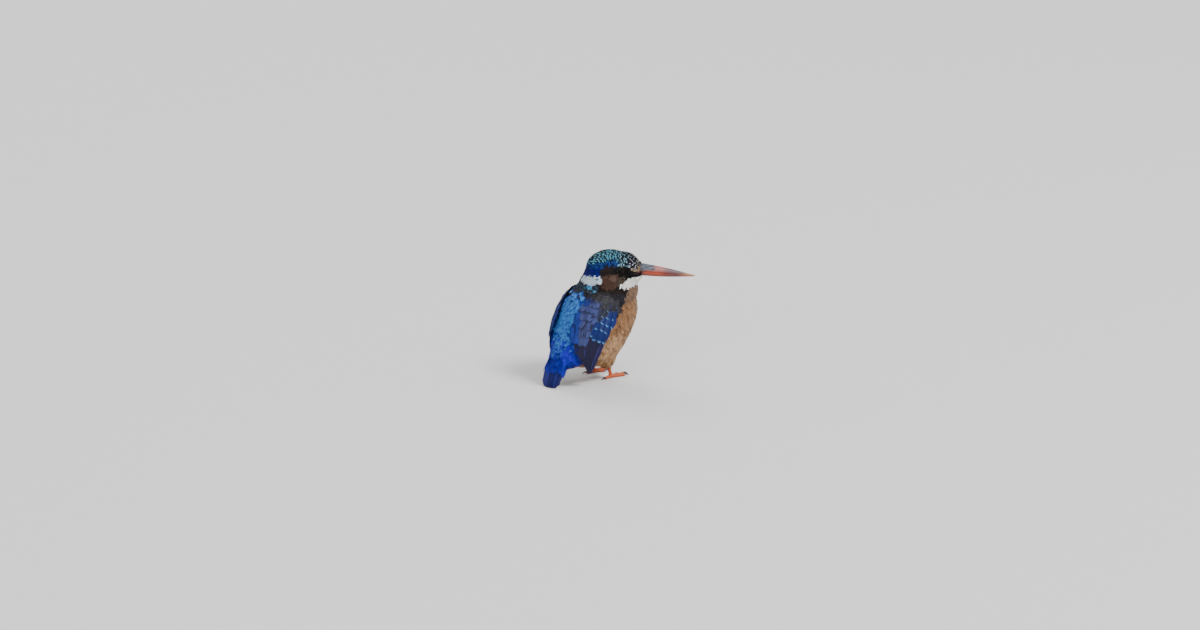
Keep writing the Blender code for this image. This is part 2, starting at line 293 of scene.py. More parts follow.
def tube(centres, radii, sides):
    """Points and triangles of a round bar, closed at both ends, with no point under the ground."""
    centres = np.asarray(centres, float)
    ways = unit(np.gradient(centres, axis=0))
    reference = np.where(np.abs(ways[:, 2:3]) > 0.9, np.array((0.0, 1.0, 0.0)), UP)
    across = unit(np.cross(ways, reference))
    over = np.cross(across, ways)
    angles = 2 * math.pi * np.arange(sides) / sides
    rings = (
        centres[:, None]
        + np.cos(angles)[None, :, None] * (across * radii[:, None])[:, None]
        + np.sin(angles)[None, :, None] * (over * radii[:, None])[:, None]
    )
    points = rings.reshape(-1, 3)
    points[:, 2] = np.maximum(points[:, 2], 0.0)
    return points, ring_faces(len(centres), sides)


def ring_faces(rows, sides):
    """Triangles over rows of rings, with a fan at each end."""
    i, k = np.meshgrid(np.arange(rows - 1), np.arange(sides), indexing="ij")
    a = (i * sides + k).ravel()
    b = (i * sides + (k + 1) % sides).ravel()
    walls = np.concatenate((np.column_stack((a, b, b + sides)), np.column_stack((a, b + sides, a + sides))))
    k = np.arange(1, sides - 1)
    start = np.column_stack((np.zeros_like(k), k + 1, k))
    last = (rows - 1) * sides + np.column_stack((np.zeros_like(k), k, k + 1))
    return np.concatenate((walls, start, last))


def together(parts):
    """Joins (points, triangles, ...) parts; what follows the triangles is joined row by row."""
    points, faces, *rest = zip(*parts)
    starts = np.cumsum([0] + [len(part) for part in points[:-1]])
    joined = [part + start for part, start in zip(faces, starts)]
    return (np.concatenate(points), np.concatenate(joined), *(np.concatenate(more) for more in rest))


# ---------------------------------------------------------------- skin


def envelope():
    """The outline of the plumage: the flesh grown into one closed form and softened."""
    bm = bmesh.new()
    for name in FLESH:
        bm.from_mesh(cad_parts[name].data)
    bmesh.ops.remove_doubles(bm, verts=bm.verts, dist=0.0005 * MM)
    bmesh.ops.recalc_face_normals(bm, faces=bm.faces)
    bm.normal_update()
    for vert in bm.verts:
        vert.co += vert.normal * JOIN * MM
    for centre in EYES.values():
        sphere(bm, centre, EYE_FILLER, HEAD_AXES)
    sphere(bm, from_head(BILL_FILLER_AT), BILL_FILLER, HEAD_AXES)
    mesh = bpy.data.meshes.new("envelope")
    bm.to_mesh(mesh)
    bm.free()
    form = link("envelope", mesh)
    remesh = form.modifiers.new("one skin", "REMESH")
    remesh.mode = "VOXEL"
    remesh.voxel_size = VOXEL * MM
    soften = form.modifiers.new("soften", "SMOOTH")
    soften.factor = 0.5
    soften.iterations = SOFTENING
    graph = bpy.context.evaluated_depsgraph_get()
    points, faces = arrays_of(bpy.data.meshes.new_from_object(form.evaluated_get(graph)))
    bpy.data.objects.remove(form)
    return Surface(points, faces)


def wing_sections(along):
    """The angles of a wing's edges, its half width and its half depth, along the trunk's axis."""
    stations, *columns = np.array(WING, float)[::-1].T
    return [np.interp(along, stations, column) for column in columns]


def round_wing(points):
    """How many degrees points are under a wing's upper edge and over its lower one, and how far out."""
    side, along, back = to_trunk(points).T
    upper, lower, half_width, half_depth = wing_sections(along)
    power = SQUARENESS / 2
    across = np.sign(back) * (np.abs(back) / half_depth) ** power
    outward = (np.abs(side) / half_width) ** power
    angle = np.degrees(np.arctan2(outward, across))
    return angle - upper, lower - angle, np.hypot(outward, across)


def over_wing(points, margin=0.0, nearness=0.0):
    """Whether points lie in a folded wing's field, drawn in by a margin in degrees, and far enough out."""
    along = to_trunk(points)[:, 1]
    under_upper, over_lower, out = round_wing(points)
    inside = (along > WING_TOP - WING_LENGTH - 1.5) & (along < WING_TOP)
    return inside & (under_upper > margin) & (over_lower > margin) & (out > nearness)


def over_tail(points):
    """Whether points lie over or under the tail's long feathers."""
    side, along, back = to_trunk(points).T
    return (along < -23.5) & (back > 15.0) & (np.abs(side) < 10.5)


def coat_depth(points):
    """How deep the plumage lies at points of its outline."""
    ahead = to_head(points)[:, 0]
    from_centre = np.linalg.norm(points - HEAD_CENTRE, axis=1)
    depth = mix(HEAD_DEPTH, BODY_DEPTH, smooth(from_centre, 13, 22))
    depth = np.where(from_centre < 22, mix(depth, FACE_DEPTH, smooth(ahead, 5, 13)), depth)
    return np.where(over_wing(points), WING_DEPTH, np.where(over_tail(points), TAIL_DEPTH, depth))


def body_skin(outline):
    """The skin of the body: the plumage's outline drawn in by the depth of the coat."""
    start = outline.points - 0.05 * outline.normals
    far, met = outline.cast(start, -outline.normals)
    thickness = np.where(met, np.linalg.norm(far - start, axis=1), 100)
    depth = np.minimum(coat_depth(outline.points), THIN_SHARE * thickness)
    for _ in range(3):
        total = np.zeros(len(depth))
        count = np.zeros(len(depth))
        for k in range(3):
            np.add.at(total, outline.faces[:, k], depth[outline.faces[:, (k + 1) % 3]])
            np.add.at(count, outline.faces[:, k], 1)
        depth = (depth + total / np.maximum(count, 1)) / 2
    points = outline.points - depth[:, None] * outline.normals
    points[:, 2] = np.maximum(points[:, 2], 0.1)
    return Surface(points, outline.faces)


# ---------------------------------------------------------------- plumage

# Colours of the ground and the tip, where the tip's colour shows, length, half width, the spacing of the
# roots, how far the feather's end stands off the skin, and the make of its vane
Kind = namedtuple("Kind", "ground tip pattern length half_width spacing depth vane")


def tipped(start, end=None):
    """The tip's colour from start on."""
    return lambda t, x: smooth(t, start, end or start + 0.12)


def barred(*bars):
    """Bars across the feather, each (from, to)."""
    soft = 0.03

    def pattern(t, x):
        curved = t + 0.06 * x**2
        starts = (smooth(curved, start - soft, start + soft) for start, _ in bars)
        ends = (1 - smooth(curved, end - soft, end + soft) for _, end in bars)
        return sum(start * end for start, end in zip(starts, ends))

    return pattern


def spotted(start, half_width):
    """A spot of the tip's colour at the end of the feather."""
    edge = half_width + 0.25
    return lambda t, x: smooth(t, start, start + 0.08) * (1 - smooth(np.abs(x), half_width, edge))


def edged(t, x):
    """The outer web in the tip's colour."""
    return smooth(x, 0.04, 0.16)


KINDS = {
    # back
    "azure": Kind((0.013, 0.075, 0.42), (0.07, 0.29, 0.76), tipped(0.52, 0.8), 5.0, 1.25, 1.0, 1.1, "silky"),
    "blue": Kind((0.0025, 0.012, 0.13), (0.0067, 0.046, 0.40), tipped(0.55), 5.2, 1.3, 1.05, 1.1, "silky"),
    "rump": Kind((0.007, 0.009, 0.27), (0.024, 0.026, 0.64), tipped(0.45), 6.2, 1.4, 1.1, 1.0, "silky"),
    "lit rump": Kind((0.0042, 0.016, 0.24), (0.05, 0.20, 0.70), tipped(0.6), 5.4, 1.2, 1.0, 1.05, "silky"),
    "tail covert": Kind((0.0025, 0.0084, 0.15), (0.01, 0.02, 0.40), tipped(0.4), 8.4, 1.7, 1.3, 0.9, "silky"),
    "violet": Kind((0.0084, 0.0084, 0.038), (0.022, 0.025, 0.14), tipped(0.5), 5.8, 1.5, 1.15, 1.1, "silky"),
    "dusky": Kind(
        (0.017, 0.015, 0.018), (0.065, 0.07, 0.092), spotted(0.88, 0.3), 4.0, 1.2, 1.0, 0.95, "silky"
    ),
    "mantle": Kind((0.018, 0.016, 0.026), (0.059, 0.22, 0.35), tipped(0.86), 4.2, 1.15, 1.0, 0.95, "silky"),
    # head
    "crown": Kind(
        (0.0017, 0.005, 0.01), (0.14, 0.49, 0.67), barred((0.79, 0.93)), 3.6, 0.92, 1.12, 0.7, "scale"
    ),
    "crown side": Kind(
        (0.0017, 0.0067, 0.059), (0.016, 0.085, 0.34), barred((0.79, 0.94)), 3.4, 0.95, 1.05, 0.7, "scale"
    ),
    "forehead": Kind(
        (0.0028, 0.0034, 0.006), (0.52, 0.54, 0.68), spotted(0.66, 0.30), 3.0, 0.84, 1.0, 0.5, "scale"
    ),
    "fore crown": Kind(
        (0.0014, 0.003, 0.006), (0.30, 0.58, 0.72), barred((0.80, 0.93)), 3.4, 0.86, 1.16, 0.62, "scale"
    ),
    "brow": Kind((0.0042, 0.005, 0.007), (0.46, 0.45, 0.42), spotted(0.5, 0.4), 1.9, 0.5, 0.6, 0.38, "short"),
    "nape": Kind((0.0017, 0.0034, 0.05), (0.0025, 0.0059, 0.19), tipped(0.5), 3.6, 0.95, 0.8, 0.75, "silky"),
    "mask": Kind(
        (0.0017, 0.0017, 0.0021), (0.0034, 0.0034, 0.0042), tipped(0.6), 1.4, 0.36, 0.42, 0.35, "short"
    ),
    "lore": Kind((0.16, 0.10, 0.059), (0.34, 0.25, 0.17), tipped(0.4), 1.5, 0.38, 0.42, 0.38, "short"),
    "malar": Kind((0.012, 0.01, 0.0084), (0.25, 0.18, 0.11), tipped(0.80), 1.8, 0.46, 0.55, 0.45, "short"),
    "cheek": Kind((0.022, 0.01, 0.0067), (0.078, 0.040, 0.028), tipped(0.45), 2.6, 0.66, 0.6, 0.6, "silky"),
    "cheek spot": Kind(
        (0.042, 0.024, 0.017), (0.14, 0.084, 0.063), tipped(0.45), 2.2, 0.6, 0.55, 0.6, "silky"
    ),
    "ear": Kind((0.0059, 0.0042, 0.0042), (0.02, 0.012, 0.0092), tipped(0.5), 2.4, 0.62, 0.6, 0.6, "silky"),
    "throat": Kind((0.78, 0.77, 0.73), (0.94, 0.93, 0.89), tipped(0.3), 2.6, 0.66, 0.6, 0.6, "silky"),
    "patch": Kind((0.52, 0.66, 0.90), (0.76, 0.89, 1.0), tipped(0.25), 2.4, 0.66, 0.55, 0.85, "silky"),
    "spot": Kind((0.008, 0.07, 0.22), (0.10, 0.40, 0.68), tipped(0.5), 3.2, 0.95, 0.85, 0.9, "silky"),
    "gape": Kind((0.05, 0.013, 0.012), (0.05, 0.013, 0.012), tipped(0.5), 1.0, 0.3, 0, 0.3, "short"),
    # under parts: one buff in lighter and darker copies. front and front side are paler towards the breast's
    # middle line, a painted rim light; collar and breast are darker, painted shade by the head and the wing;
    # vent is darker, partly its own deeper rufous and partly painted shade under the tail
    "collar": Kind((0.071, 0.039, 0.028), (0.25, 0.15, 0.097), tipped(0.5), 3.6, 1.0, 0.85, 0.9, "silky"),
    "front": Kind((0.20, 0.108, 0.062), (0.475, 0.30, 0.175), tipped(0.4), 4.2, 1.15, 0.95, 1.0, "fluffy"),
    "front side": Kind(
        (0.165, 0.084, 0.044), (0.42, 0.24, 0.13), tipped(0.42), 4.5, 1.22, 0.98, 1.05, "fluffy"
    ),
    "breast": Kind((0.13, 0.06, 0.027), (0.36, 0.18, 0.082), tipped(0.45), 4.8, 1.3, 1.0, 1.1, "fluffy"),
    "belly": Kind((0.24, 0.12, 0.057), (0.53, 0.315, 0.163), tipped(0.45), 5.6, 1.5, 1.1, 1.15, "fluffy"),
    "vent": Kind((0.17, 0.08, 0.03), (0.38, 0.19, 0.08), tipped(0.45), 6.0, 1.5, 1.15, 1.0, "fluffy"),
    # wing and tail
    "lesser covert": Kind(
        (0.018, 0.016, 0.022), (0.11, 0.15, 0.23), spotted(0.90, 0.30), 5.0, 1.6, 1.0, 0.9, "closed"
    ),
    "dull covert": Kind(
        (0.01, 0.012, 0.029), (0.076, 0.17, 0.28), spotted(0.87, 0.6), 6.0, 1.7, 1.0, 0.9, "closed"
    ),
    "bright covert": Kind(
        (0.0034, 0.013, 0.12), (0.085, 0.27, 0.56), spotted(0.85, 0.7), 6.0, 1.7, 1.0, 0.9, "closed"
    ),
    "blue scapular": Kind(
        (0.0042, 0.01, 0.084), (0.0084, 0.032, 0.25), tipped(0.5), 9.0, 2.1, 1.0, 0.9, "closed"
    ),
    "scapular": Kind((0.013, 0.015, 0.055), (0.045, 0.06, 0.19), tipped(0.55), 9.0, 2.1, 1.0, 0.9, "closed"),
    "quill": Kind((0.009, 0.008, 0.034), (0.034, 0.026, 0.20), edged, 20, 2.0, 1.0, 0.5, "quill"),
    "rectrix": Kind((0.0067, 0.0084, 0.084), (0.024, 0.03, 0.25), edged, 23, 1.9, 1.0, 0.4, "quill"),
}
CROWN_KINDS = ("crown", "crown side", "fore crown", "forehead", "brow", "nape", "patch", "spot")
FACE_KINDS = ("mask", "lore", "malar", "cheek", "cheek spot", "ear", "throat", "gape")
BREAST_KINDS = ("collar", "front", "front side", "breast")
BELLY_KINDS = ("belly", "vent")
HEAD_KINDS = CROWN_KINDS + FACE_KINDS
WARM_KINDS = BREAST_KINDS + BELLY_KINDS


def in_spot(ahead, up, centre, half, slope):
    """Whether places seen from the side of the head lie in an ellipse; slope is its fall to the rear."""
    fall = math.radians(slope)
    da, du = ahead - centre[0], up - centre[1]
    lengthwise = da * math.cos(fall) + du * math.sin(fall)
    across = du * math.cos(fall) - da * math.sin(fall)
    return (lengthwise / half[0]) ** 2 + (across / half[1]) ** 2 < 1


# Edges of markings on the side of the head, each (ahead, up)
CROWN_EDGE = (
    (-16.0, 0.0),
    (-13.0, 1.6),
    (-8.0, 2.4),
    (0.0, 3.0),
    (5.0, 3.9),
    (9.0, 3.5),
    (12.0, 2.6),
    (18.0, 2.6),
)
THROAT_TOP = ((4.6, -8.3), (8.0, -6.6), (10.8, -4.9), (15.0, -4.0), (20.0, -3.4))
THROAT_END = ((4.6, -8.5), (8.0, -10.0), (11.0, -9.6), (14.0, -8.8), (20.0, -8.5))
GAPE_LINE = ((10.5, -2.4), (18.0, -1.15))
GAPE_HALF = ((11.0, 0.0), (13.0, 0.25), (17.0, 0.5), (20.0, 0.6))  # its half height


HEAD_REACH, HEAD_BASE = 21, -15  # from the head's centre: how far its markings go, and how far down
HEAD_HIDDEN, BODY_HIDDEN, FACE_HIDDEN = 1.7, 2.8, 0.7  # how much of a feather the next ones hide


def shown_at(points, normals):
    """Where the feathers that grow at places show, which is down their lie."""
    from_centre = np.linalg.norm(points - HEAD_CENTRE, axis=1)
    ahead = to_head(points)[:, 0]
    hidden = mix(HEAD_HIDDEN, BODY_HIDDEN, smooth(from_centre, 14, 24))
    hidden = np.where(from_centre < 20, mix(hidden, FACE_HIDDEN, smooth(ahead, 3, 9)), hidden)
    return points + hidden[:, None] * lie(points, normals)


def head_choices(points):
    """Kinds of the head and where they grow, each where none before it does."""
    ahead, side, up = to_head(points).T
    side = np.abs(side)
    crown_edge, throat_top, throat_end, gape_line, gape_half = (
        np.interp(ahead, *np.array(edge).T)
        for edge in (CROWN_EDGE, THROAT_TOP, THROAT_END, GAPE_LINE, GAPE_HALF)
    )

    def spot(*shape):
        return in_spot(ahead, up, *shape)

    return (
        ("gape", (ahead > 11) & (np.abs(up - gape_line) < gape_half) & (side > 1)),
        ("lore", spot((16.2, 0.75), (4.8, 1.4), 4) & (side > 1.2)),
        ("mask", spot((6.0, 0.8), (6.0, 2.7), 8) & (side > 3)),
        ("mask", (ahead > 8) & (up < 0.6) & (up > throat_top)),
        ("brow", (ahead > 14.6) & (up > 0)),
        ("forehead", (ahead > 11.6) & (up > 0)),
        ("fore crown", (ahead > 5.5) & (up > crown_edge)),
        ("crown", up > crown_edge + 2.6 * (1 - smooth(ahead, 2, 6))),
        ("crown side", up > crown_edge),
        ("patch", spot((-11.8, -5.2), (6.0, 2.4), 12) & (side > 2.5)),
        ("spot", spot((-12.6, -11.6), (3.4, 4.2), 0) & (side > 2.5)),
        ("malar", spot((6.6, -5.2), (4.6, 2.4), 20) & (up > throat_top)),
        ("throat", (ahead > 4.6) & ((up < throat_top) | (side < 3)) & (up > throat_end)),
        ("mask", (ahead > 3.5) & (up > -5)),
        ("nape", (ahead < -6.4) & (up > -5.0 - 0.1 * ahead)),
        ("cheek spot", spot((0.6, -3.6), (2.0, 1.7), 0)),
        ("ear", up > -1.8),
        ("cheek", spot((-1.1, -5.1), (5.7, 4.9), 0)),
        ("ear", (up > -13) & (ahead > -8) & (ahead < 9.5 - 0.3 * (up + 10))),
    )


def body_choices(points):
    """Kinds of the body and where they grow, each where none before it does."""
    along, angle = round_trunk(points)
    below_wing = (round_wing(points)[1] < 3) & (angle > 60)
    return (
        # front and front side paint a rim light on the breast's middle; collar, breast and vent below paint
        # shade by the head, the wing and the tail
        ("front", (angle > 138) & (along > 5)),
        ("collar", (along > 22) & (angle > 92)),
        ("front side", (angle > 118) & (along > 5)),
        ("mantle", (along > 20) & (angle < 34)),
        ("dusky", (along > 15) & (angle < 90 + 6 * smooth(along, 18, 24))),
        ("vent", (along < -13) & (angle > 68 + 36 * smooth(-along, 15, 22))),
        ("lit rump", (along < -19) & (along > -21) & (angle < 9)),
        ("tail covert", along < -19),
        ("breast", below_wing & (along > 2)),
        ("belly", below_wing & (along > -13)),
        ("lit rump", (along < -11) & (angle < 12)),
        ("rump", along < -11),
        ("azure", angle < 25 - 7 * smooth(-along, 2, 11)),
        ("blue", angle < 38),
        ("violet", angle < 80),
        ("breast", along > 2),
    )


def kinds_at(points):
    """The name of the plumage that shows at each point."""
    from_centre = np.linalg.norm(points - HEAD_CENTRE, axis=1)
    on_head = (from_centre < HEAD_REACH) & (to_head(points)[:, 2] > HEAD_BASE)
    choices = [(name, on_head & test) for name, test in head_choices(points)]
    choices += body_choices(points)
    return np.select([test for _, test in choices], [name for name, _ in choices], "belly")


def skin_colours(points, normals):
    """The markings on the skin: near the ground colour of what grows there, which shows between the roots."""
    names = kinds_at(shown_at(points, normals))
    low = to_trunk(points)[:, 1] < -2
    names = np.where(over_wing(points, 0, WING_OUTSIDE), np.where(low, "quill", "dull covert"), names)
    names = np.where(over_tail(points), "rectrix", names)
    colours = np.empty((len(points), 3))
    for name in np.unique(names):
        kind = KINDS[name]
        colours[names == name] = mix(np.array(kind.ground), np.array(kind.tip), SKIN_TIP_SHARE)
    return colours


# ---------------------------------------------------------------- feathers

Vane = namedtuple("Vane", "t x z faces tint")
Feathers = namedtuple("Feathers", "spines ways ups widths lengths cells")
VANES = {
    # barbs a side, where they start, their reach towards the tip, their fill, ragged ends, narrower web
    "silky": (34, 0.06, 0.56, 1.4, 0.20, 1.0),
    "fluffy": (34, 0.05, 0.62, 1.25, 0.32, 1.0),
    "scale": (26, 0.12, 0.42, 1.5, 0.08, 1.0),
    "short": (11, 0.06, 0.50, 1.3, 0.20, 1.0),
    "closed": (52, 0.08, 0.26, 1.6, 0.02, 1.0),
    "quill": (130, 0.03, 0.08, 1.7, 0.01, 0.6),
}
STATIONS = 5  # along each spine
VARIANTS = 6  # of the vane, for the feathers of one kind
SMALL_CELL, LONG_CELL = (0.003, 0.003), (0.022, 0.11)  # of a feather on the map
LOWEST = 0.04  # of any feather, over the ground
TURN = 0.09  # how much feathers turn from their lie
SOFT_BEND, SHARP_BEND = 0.72, 0.25  # cosines of the most that a spine turns in a step, and that by the bill
BILL_RIM_AT = 12.5  # how far ahead the skin turns in round the bill
TRIES = 7  # at a place for each feather that would fit
HEAD_RAGGED, BODY_RAGGED = 0.3, 0.9  # how far the edges of markings stray
BY_WING, BY_WING_DEPTH = -9, 0.55  # degrees round a wing in which feathers lie flatter, and by how much
EYE_BARE, EYE_CLEAR = 1.9, 1.86  # round an eye: with no roots, and with no feathers at all
BILL_BARE, BILL_CLEAR = 19.4, 20.6  # ahead: the same for the bill
GAP = 0.9  # the most that a feather stands off where the skin turns away
RIMS, RIM_FEATHERS = (0.066, 0.042, 0.015), 64  # rings at these shares of the bill, and the feathers in each
RIM_LENGTH, RIM_HALF_WIDTH, RIM_OUT = 2.2, 0.5, 0.5
ROLL, ARCH = 0.10, 0.05  # of a vane round its shaft, and across it
TONE, BARB_TONE, FADING = 0.10, 0.07, 0.4  # how much feathers and barbs differ


def vane_width(t):
    """Half width of a feather along it, as a share of its greatest."""
    rise = 0.35 + 0.65 * smooth(t, 0.0, 0.5)
    return rise * np.sqrt(np.clip(1 - np.clip((t - 0.55) / 0.45, 0, 1) ** 2.6, 0, 1))


def barb(t0, t1, end, aspect, thick, rng):
    """A flat strip that leaves the shaft at t0 and bends to the edge of the vane at t1."""
    bend = mix(t0, t1, 0.34)
    steps = np.array((0.0, 0.66, 1.0))
    t = (1 - steps) ** 2 * t0 + 2 * steps * (1 - steps) * bend + steps**2 * t1
    x = (2 * steps * (1 - steps) * 0.72 + steps**2) * end
    flat = np.column_stack((t, x * aspect))
    ways = unit(np.gradient(flat, axis=0))
    across = np.column_stack((-ways[:, 1], ways[:, 0]))
    wide = thick * np.array((1.0, 1.0, 0.0))
    first, last = flat + across * wide[:, None], flat - across * wide[:, None]
    points = np.array((first[0], last[0], first[1], last[1], first[2]))
    lift = np.array((0.5, -0.5, 0.5, -0.5, 0.0)) * thick * (0.1 + 0.35 * rng.random())
    faces = np.array(((0, 1, 3), (0, 3, 2), (2, 3, 4)))
    return points[:, 0], points[:, 1] / aspect, lift, faces


def make_vane(barbs, start, reach, fill, ragged, narrow, aspect, rng):
    """A feather of unit length and unit half width: a shaft, and barbs on both sides of it."""
    parts = []
    step = (0.95 - start) / (barbs - 1)
    for hand in (-1, 1):
        web = narrow if hand > 0 else 1.0
        for i in range(barbs):
            share = i / (barbs - 1)
            t0 = mix(start, 0.95, share) + rng.normal(0, 0.15) * step
            t1 = mix(start + reach, 1.0, share**0.85) + rng.normal(0, ragged * 0.15)
            end = hand * web * max(0.04, vane_width(min(t1, 0.985))) * (1 + rng.normal(0, ragged * 0.5))
            slope = math.atan2(abs(end) * aspect, max(t1 - t0, 0.02))
            thick = 0.5 * fill * step * max(math.sin(slope), 0.25)
            t, x, z, faces = barb(t0, t1, end, aspect, thick, rng)
            tint = np.full(5, rng.normal(0, 1))
            parts.append((np.column_stack((t, x, z, tint)), faces))
    t = np.array((0.0, 0.0, 0.45, 0.45, 0.97))
    x = np.array((-1, 1, -0.7, 0.7, 0.0)) * 0.011 / aspect
    shaft = np.column_stack((t, x, np.full(5, 0.006), np.full(5, -0.6)))
    parts.append((shaft, np.array(((0, 1, 3), (0, 3, 2), (2, 3, 4)))))
    points, faces = together(parts)
    return Vane(points[:, 0], points[:, 1], points[:, 2], faces, points[:, 3])


def weights_along(t):
    """Weights of the spine's stations at each t, on the curve through them all."""
    nodes = np.linspace(0, 1, STATIONS)
    weights = np.ones((len(t), STATIONS))
    for k in range(STATIONS):
        for j in range(STATIONS):
            if j != k:
                weights[:, k] *= (t - nodes[j]) / (nodes[k] - nodes[j])
    return weights


def some(feathers, chosen):
    """The chosen ones of some feathers."""
    return Feathers(*(part[chosen] for part in feathers))


def spines_through(place_at):
    """Spines, ways and normals from what gives the places and the normals at a share of the length."""
    placed = [place_at(k / (STATIONS - 1)) for k in range(STATIONS)]
    spines, ups = (np.stack(part, axis=1) for part in zip(*placed))
    return spines, unit(np.gradient(spines, axis=1)), ups


def bent(vane, feathers, flip, rolls):
    """The points of a vane bent along each feather's spine."""
    weights = weights_along(vane.t)
    sides = unit(np.cross(feathers.ups, feathers.ways))
    out = vane.x[None, :] * flip[:, None] * feathers.widths[:, None]
    lift = vane.z[None, :] * feathers.lengths[:, None] + out * rolls[:, None] - ARCH * out**2
    points = (
        np.einsum("vk,fkc->fvc", weights, feathers.spines)
        + out[:, :, None] * np.einsum("vk,fkc->fvc", weights, sides)
        + lift[:, :, None] * np.einsum("vk,fkc->fvc", weights, feathers.ups)
    )
    points[:, :, 2] = np.maximum(points[:, :, 2], LOWEST)
    return points.reshape(-1, 3)


def vane_colours(kind, vane, strengths, tones):
    """The colours of a kind's markings over a vane, for feathers of these strengths and tones."""
    share = np.clip(kind.pattern(vane.t, vane.x), 0, 1)[None, :] * strengths[:, None]
    colours = mix(np.array(kind.ground), np.array(kind.tip), share[:, :, None])
    tone = 1 + TONE * tones[:, None] + BARB_TONE * vane.tint[None, :]
    return np.clip(colours * tone[:, :, None], 0.001, 1).reshape(-1, 3)


class Coat:
    """Feathers gathered into one mesh."""

    def __init__(self):
        self.parts = []

    def add(self, kind, feathers, rng, flip=None, cell=SMALL_CELL):
        """Adds feathers of one kind, with a few variants of its vane in turn."""
        count = len(feathers.spines)
        if not count:
            return
        flip = np.ones(count) if flip is None else flip
        aspect = float(np.median(feathers.widths / feathers.lengths))
        tones = rng.normal(0, 1, count)
        rolls = rng.normal(0, ROLL, count)
        strengths = 1 - FADING * rng.random(count) ** 1.5
        for variant in range(min(VARIANTS, count)):
            vane = make_vane(*VANES[kind.vane], aspect, rng)
            mine = np.arange(variant, count, VARIANTS)
            points = bent(vane, some(feathers, mine), flip[mine], rolls[mine])
            colours = vane_colours(kind, vane, strengths[mine], tones[mine])
            patch = np.column_stack((0.5 * np.clip(vane.x, -1, 1), np.clip(vane.t, 0, 1) - 0.5))
            uvs = feathers.cells[mine, None, :] + patch[None] * np.array(cell)
            faces = np.arange(len(mine))[:, None, None] * len(vane.t) + vane.faces[None]
            web = np.column_stack((np.abs(vane.x), vane.t, np.full(len(vane.t), kind.length)))
            webs = np.tile(web, (len(mine), 1))
            self.parts.append((points, faces.reshape(-1, 3), colours, uvs.reshape(-1, 2), webs))

    def build(self, name, material, slot):
        """Makes the coat's piece."""
        made = piece_of(name, together(self.parts), material)
        return made


def lie(points, normals):
    """Which way feathers lie: from the bill over the head, then down the body to the tail."""
    ahead = to_head(points)[:, 0]
    from_centre = np.linalg.norm(points - HEAD_CENTRE, axis=1)
    from_bill = unit(points - from_head((24.0, 0.0, 1.0)))
    on_head = np.maximum(1 - smooth(from_centre, 13, 21), smooth(ahead, 9, 14))
    share = smooth(ahead, -13, -1) * on_head
    _, along, _ = to_trunk(points).T
    below = smooth(-np.sum(normals * BACK, axis=1), 0, 0.5) * smooth(-along, 12, 22)
    down = below[:, None] * 1.6 * BACK - ALONG
    ways = mix(down, from_bill, share[:, None])
    ways = ways - np.sum(ways * normals, axis=1, keepdims=True) * normals
    return unit(ways)


def spines_from(surface, roots, normals, lengths, depths, rng):
    """Feathers' spines over the surface from their roots, rising as they go, and how far off it they end."""
    places, faced = roots, normals
    on = np.ones(len(roots), bool)
    gaps = np.zeros(len(roots))
    turn = rng.normal(0, TURN, len(roots))[:, None]
    spines, ways, ups = [], [], []
    for k in range(STATIONS):
        way = lie(places, faced)
        way = unit(way + turn * np.cross(faced, way))
        rise = depths * (0.08 + 0.9 * (k / (STATIONS - 1)) ** 0.75)
        spines.append(places + rise[:, None] * faced)
        ways.append(way)
        ups.append(faced)
        onward = places + way * (lengths / (STATIONS - 1))[:, None]
        near, turned = surface.nearest(onward)
        if k < STATIONS - 1:
            by_bill = to_head(places)[:, 0] > BILL_RIM_AT
            on &= np.sum(turned * faced, axis=1) > np.where(by_bill, SHARP_BEND, SOFT_BEND)
            gaps = np.where(on, gaps, np.linalg.norm(onward - near, axis=1))
        places = np.where(on[:, None], near, onward)
        faced = np.where(on[:, None], turned, faced)
    return (*(np.stack(part, axis=1) for part in (spines, ways, ups)), gaps)


def scatter(surface, spacings, rng):
    """Places over the surface, no two nearer than the spacing there. A face with no spacing gets none."""
    bare = spacings <= 0
    spacings = np.where(bare, 1.0, spacings)
    shares = np.where(bare, 0, surface.areas / spacings**2)
    tries = int(TRIES * shares.sum())
    chosen = rng.choice(len(shares), tries, p=shares / shares.sum())
    u, v = rng.random((2, tries))
    over = u + v > 1
    u, v = np.where(over, 1 - u, u), np.where(over, 1 - v, v)
    a, b, c = (surface.points[surface.faces[chosen, k]] for k in range(3))
    places = a + u[:, None] * (b - a) + v[:, None] * (c - a)
    cell = spacings.max()
    cells = np.floor(places / cell).astype(int)
    taken, kept = {}, []
    neighbours = [(i, j, k) for i in (-1, 0, 1) for j in (-1, 0, 1) for k in (-1, 0, 1)]
    limits = spacings[chosen] ** 2
    for index, (place, (i, j, k)) in enumerate(zip(places.tolist(), cells.tolist())):
        limit = limits[index]
        x, y, z = place
        near = (other for di, dj, dk in neighbours for other in taken.get((i + di, j + dj, k + dk), ()))
        if all((x - ox) ** 2 + (y - oy) ** 2 + (z - oz) ** 2 >= limit for ox, oy, oz in near):
            taken.setdefault((i, j, k), []).append((x, y, z))
            kept.append(index)
    return places[kept], surface.face_normals[chosen[kept]]


def unwrapped(points):
    """Each point's place on the body unrolled round its axis, or on the head unrolled round its own."""
    side, along, back = to_trunk(points).T
    ahead, left, up = to_head(points).T
    body = np.column_stack((
        0.03 + 0.56 * (np.arctan2(side, back) / (2 * math.pi) + 0.5),
        0.03 + 0.94 * (along + 45) / 95,
    ))
    head = np.column_stack((
        0.63 + 0.34 * (np.arctan2(left, up) / (2 * math.pi) + 0.5),
        0.05 + 0.9 * (ahead + 22) / 44,
    ))
    on_head = np.linalg.norm(points - HEAD_CENTRE, axis=1) < 19
    return np.clip(np.where(on_head[:, None], head, body), 0.005, 0.995)


def from_eye(ahead, up):
    """How far places seen from the side of the head are from an eye's middle, in its own shape."""
    return np.hypot((ahead - EYE_AHEAD) / EYE_STRETCH, up - EYE_UP)


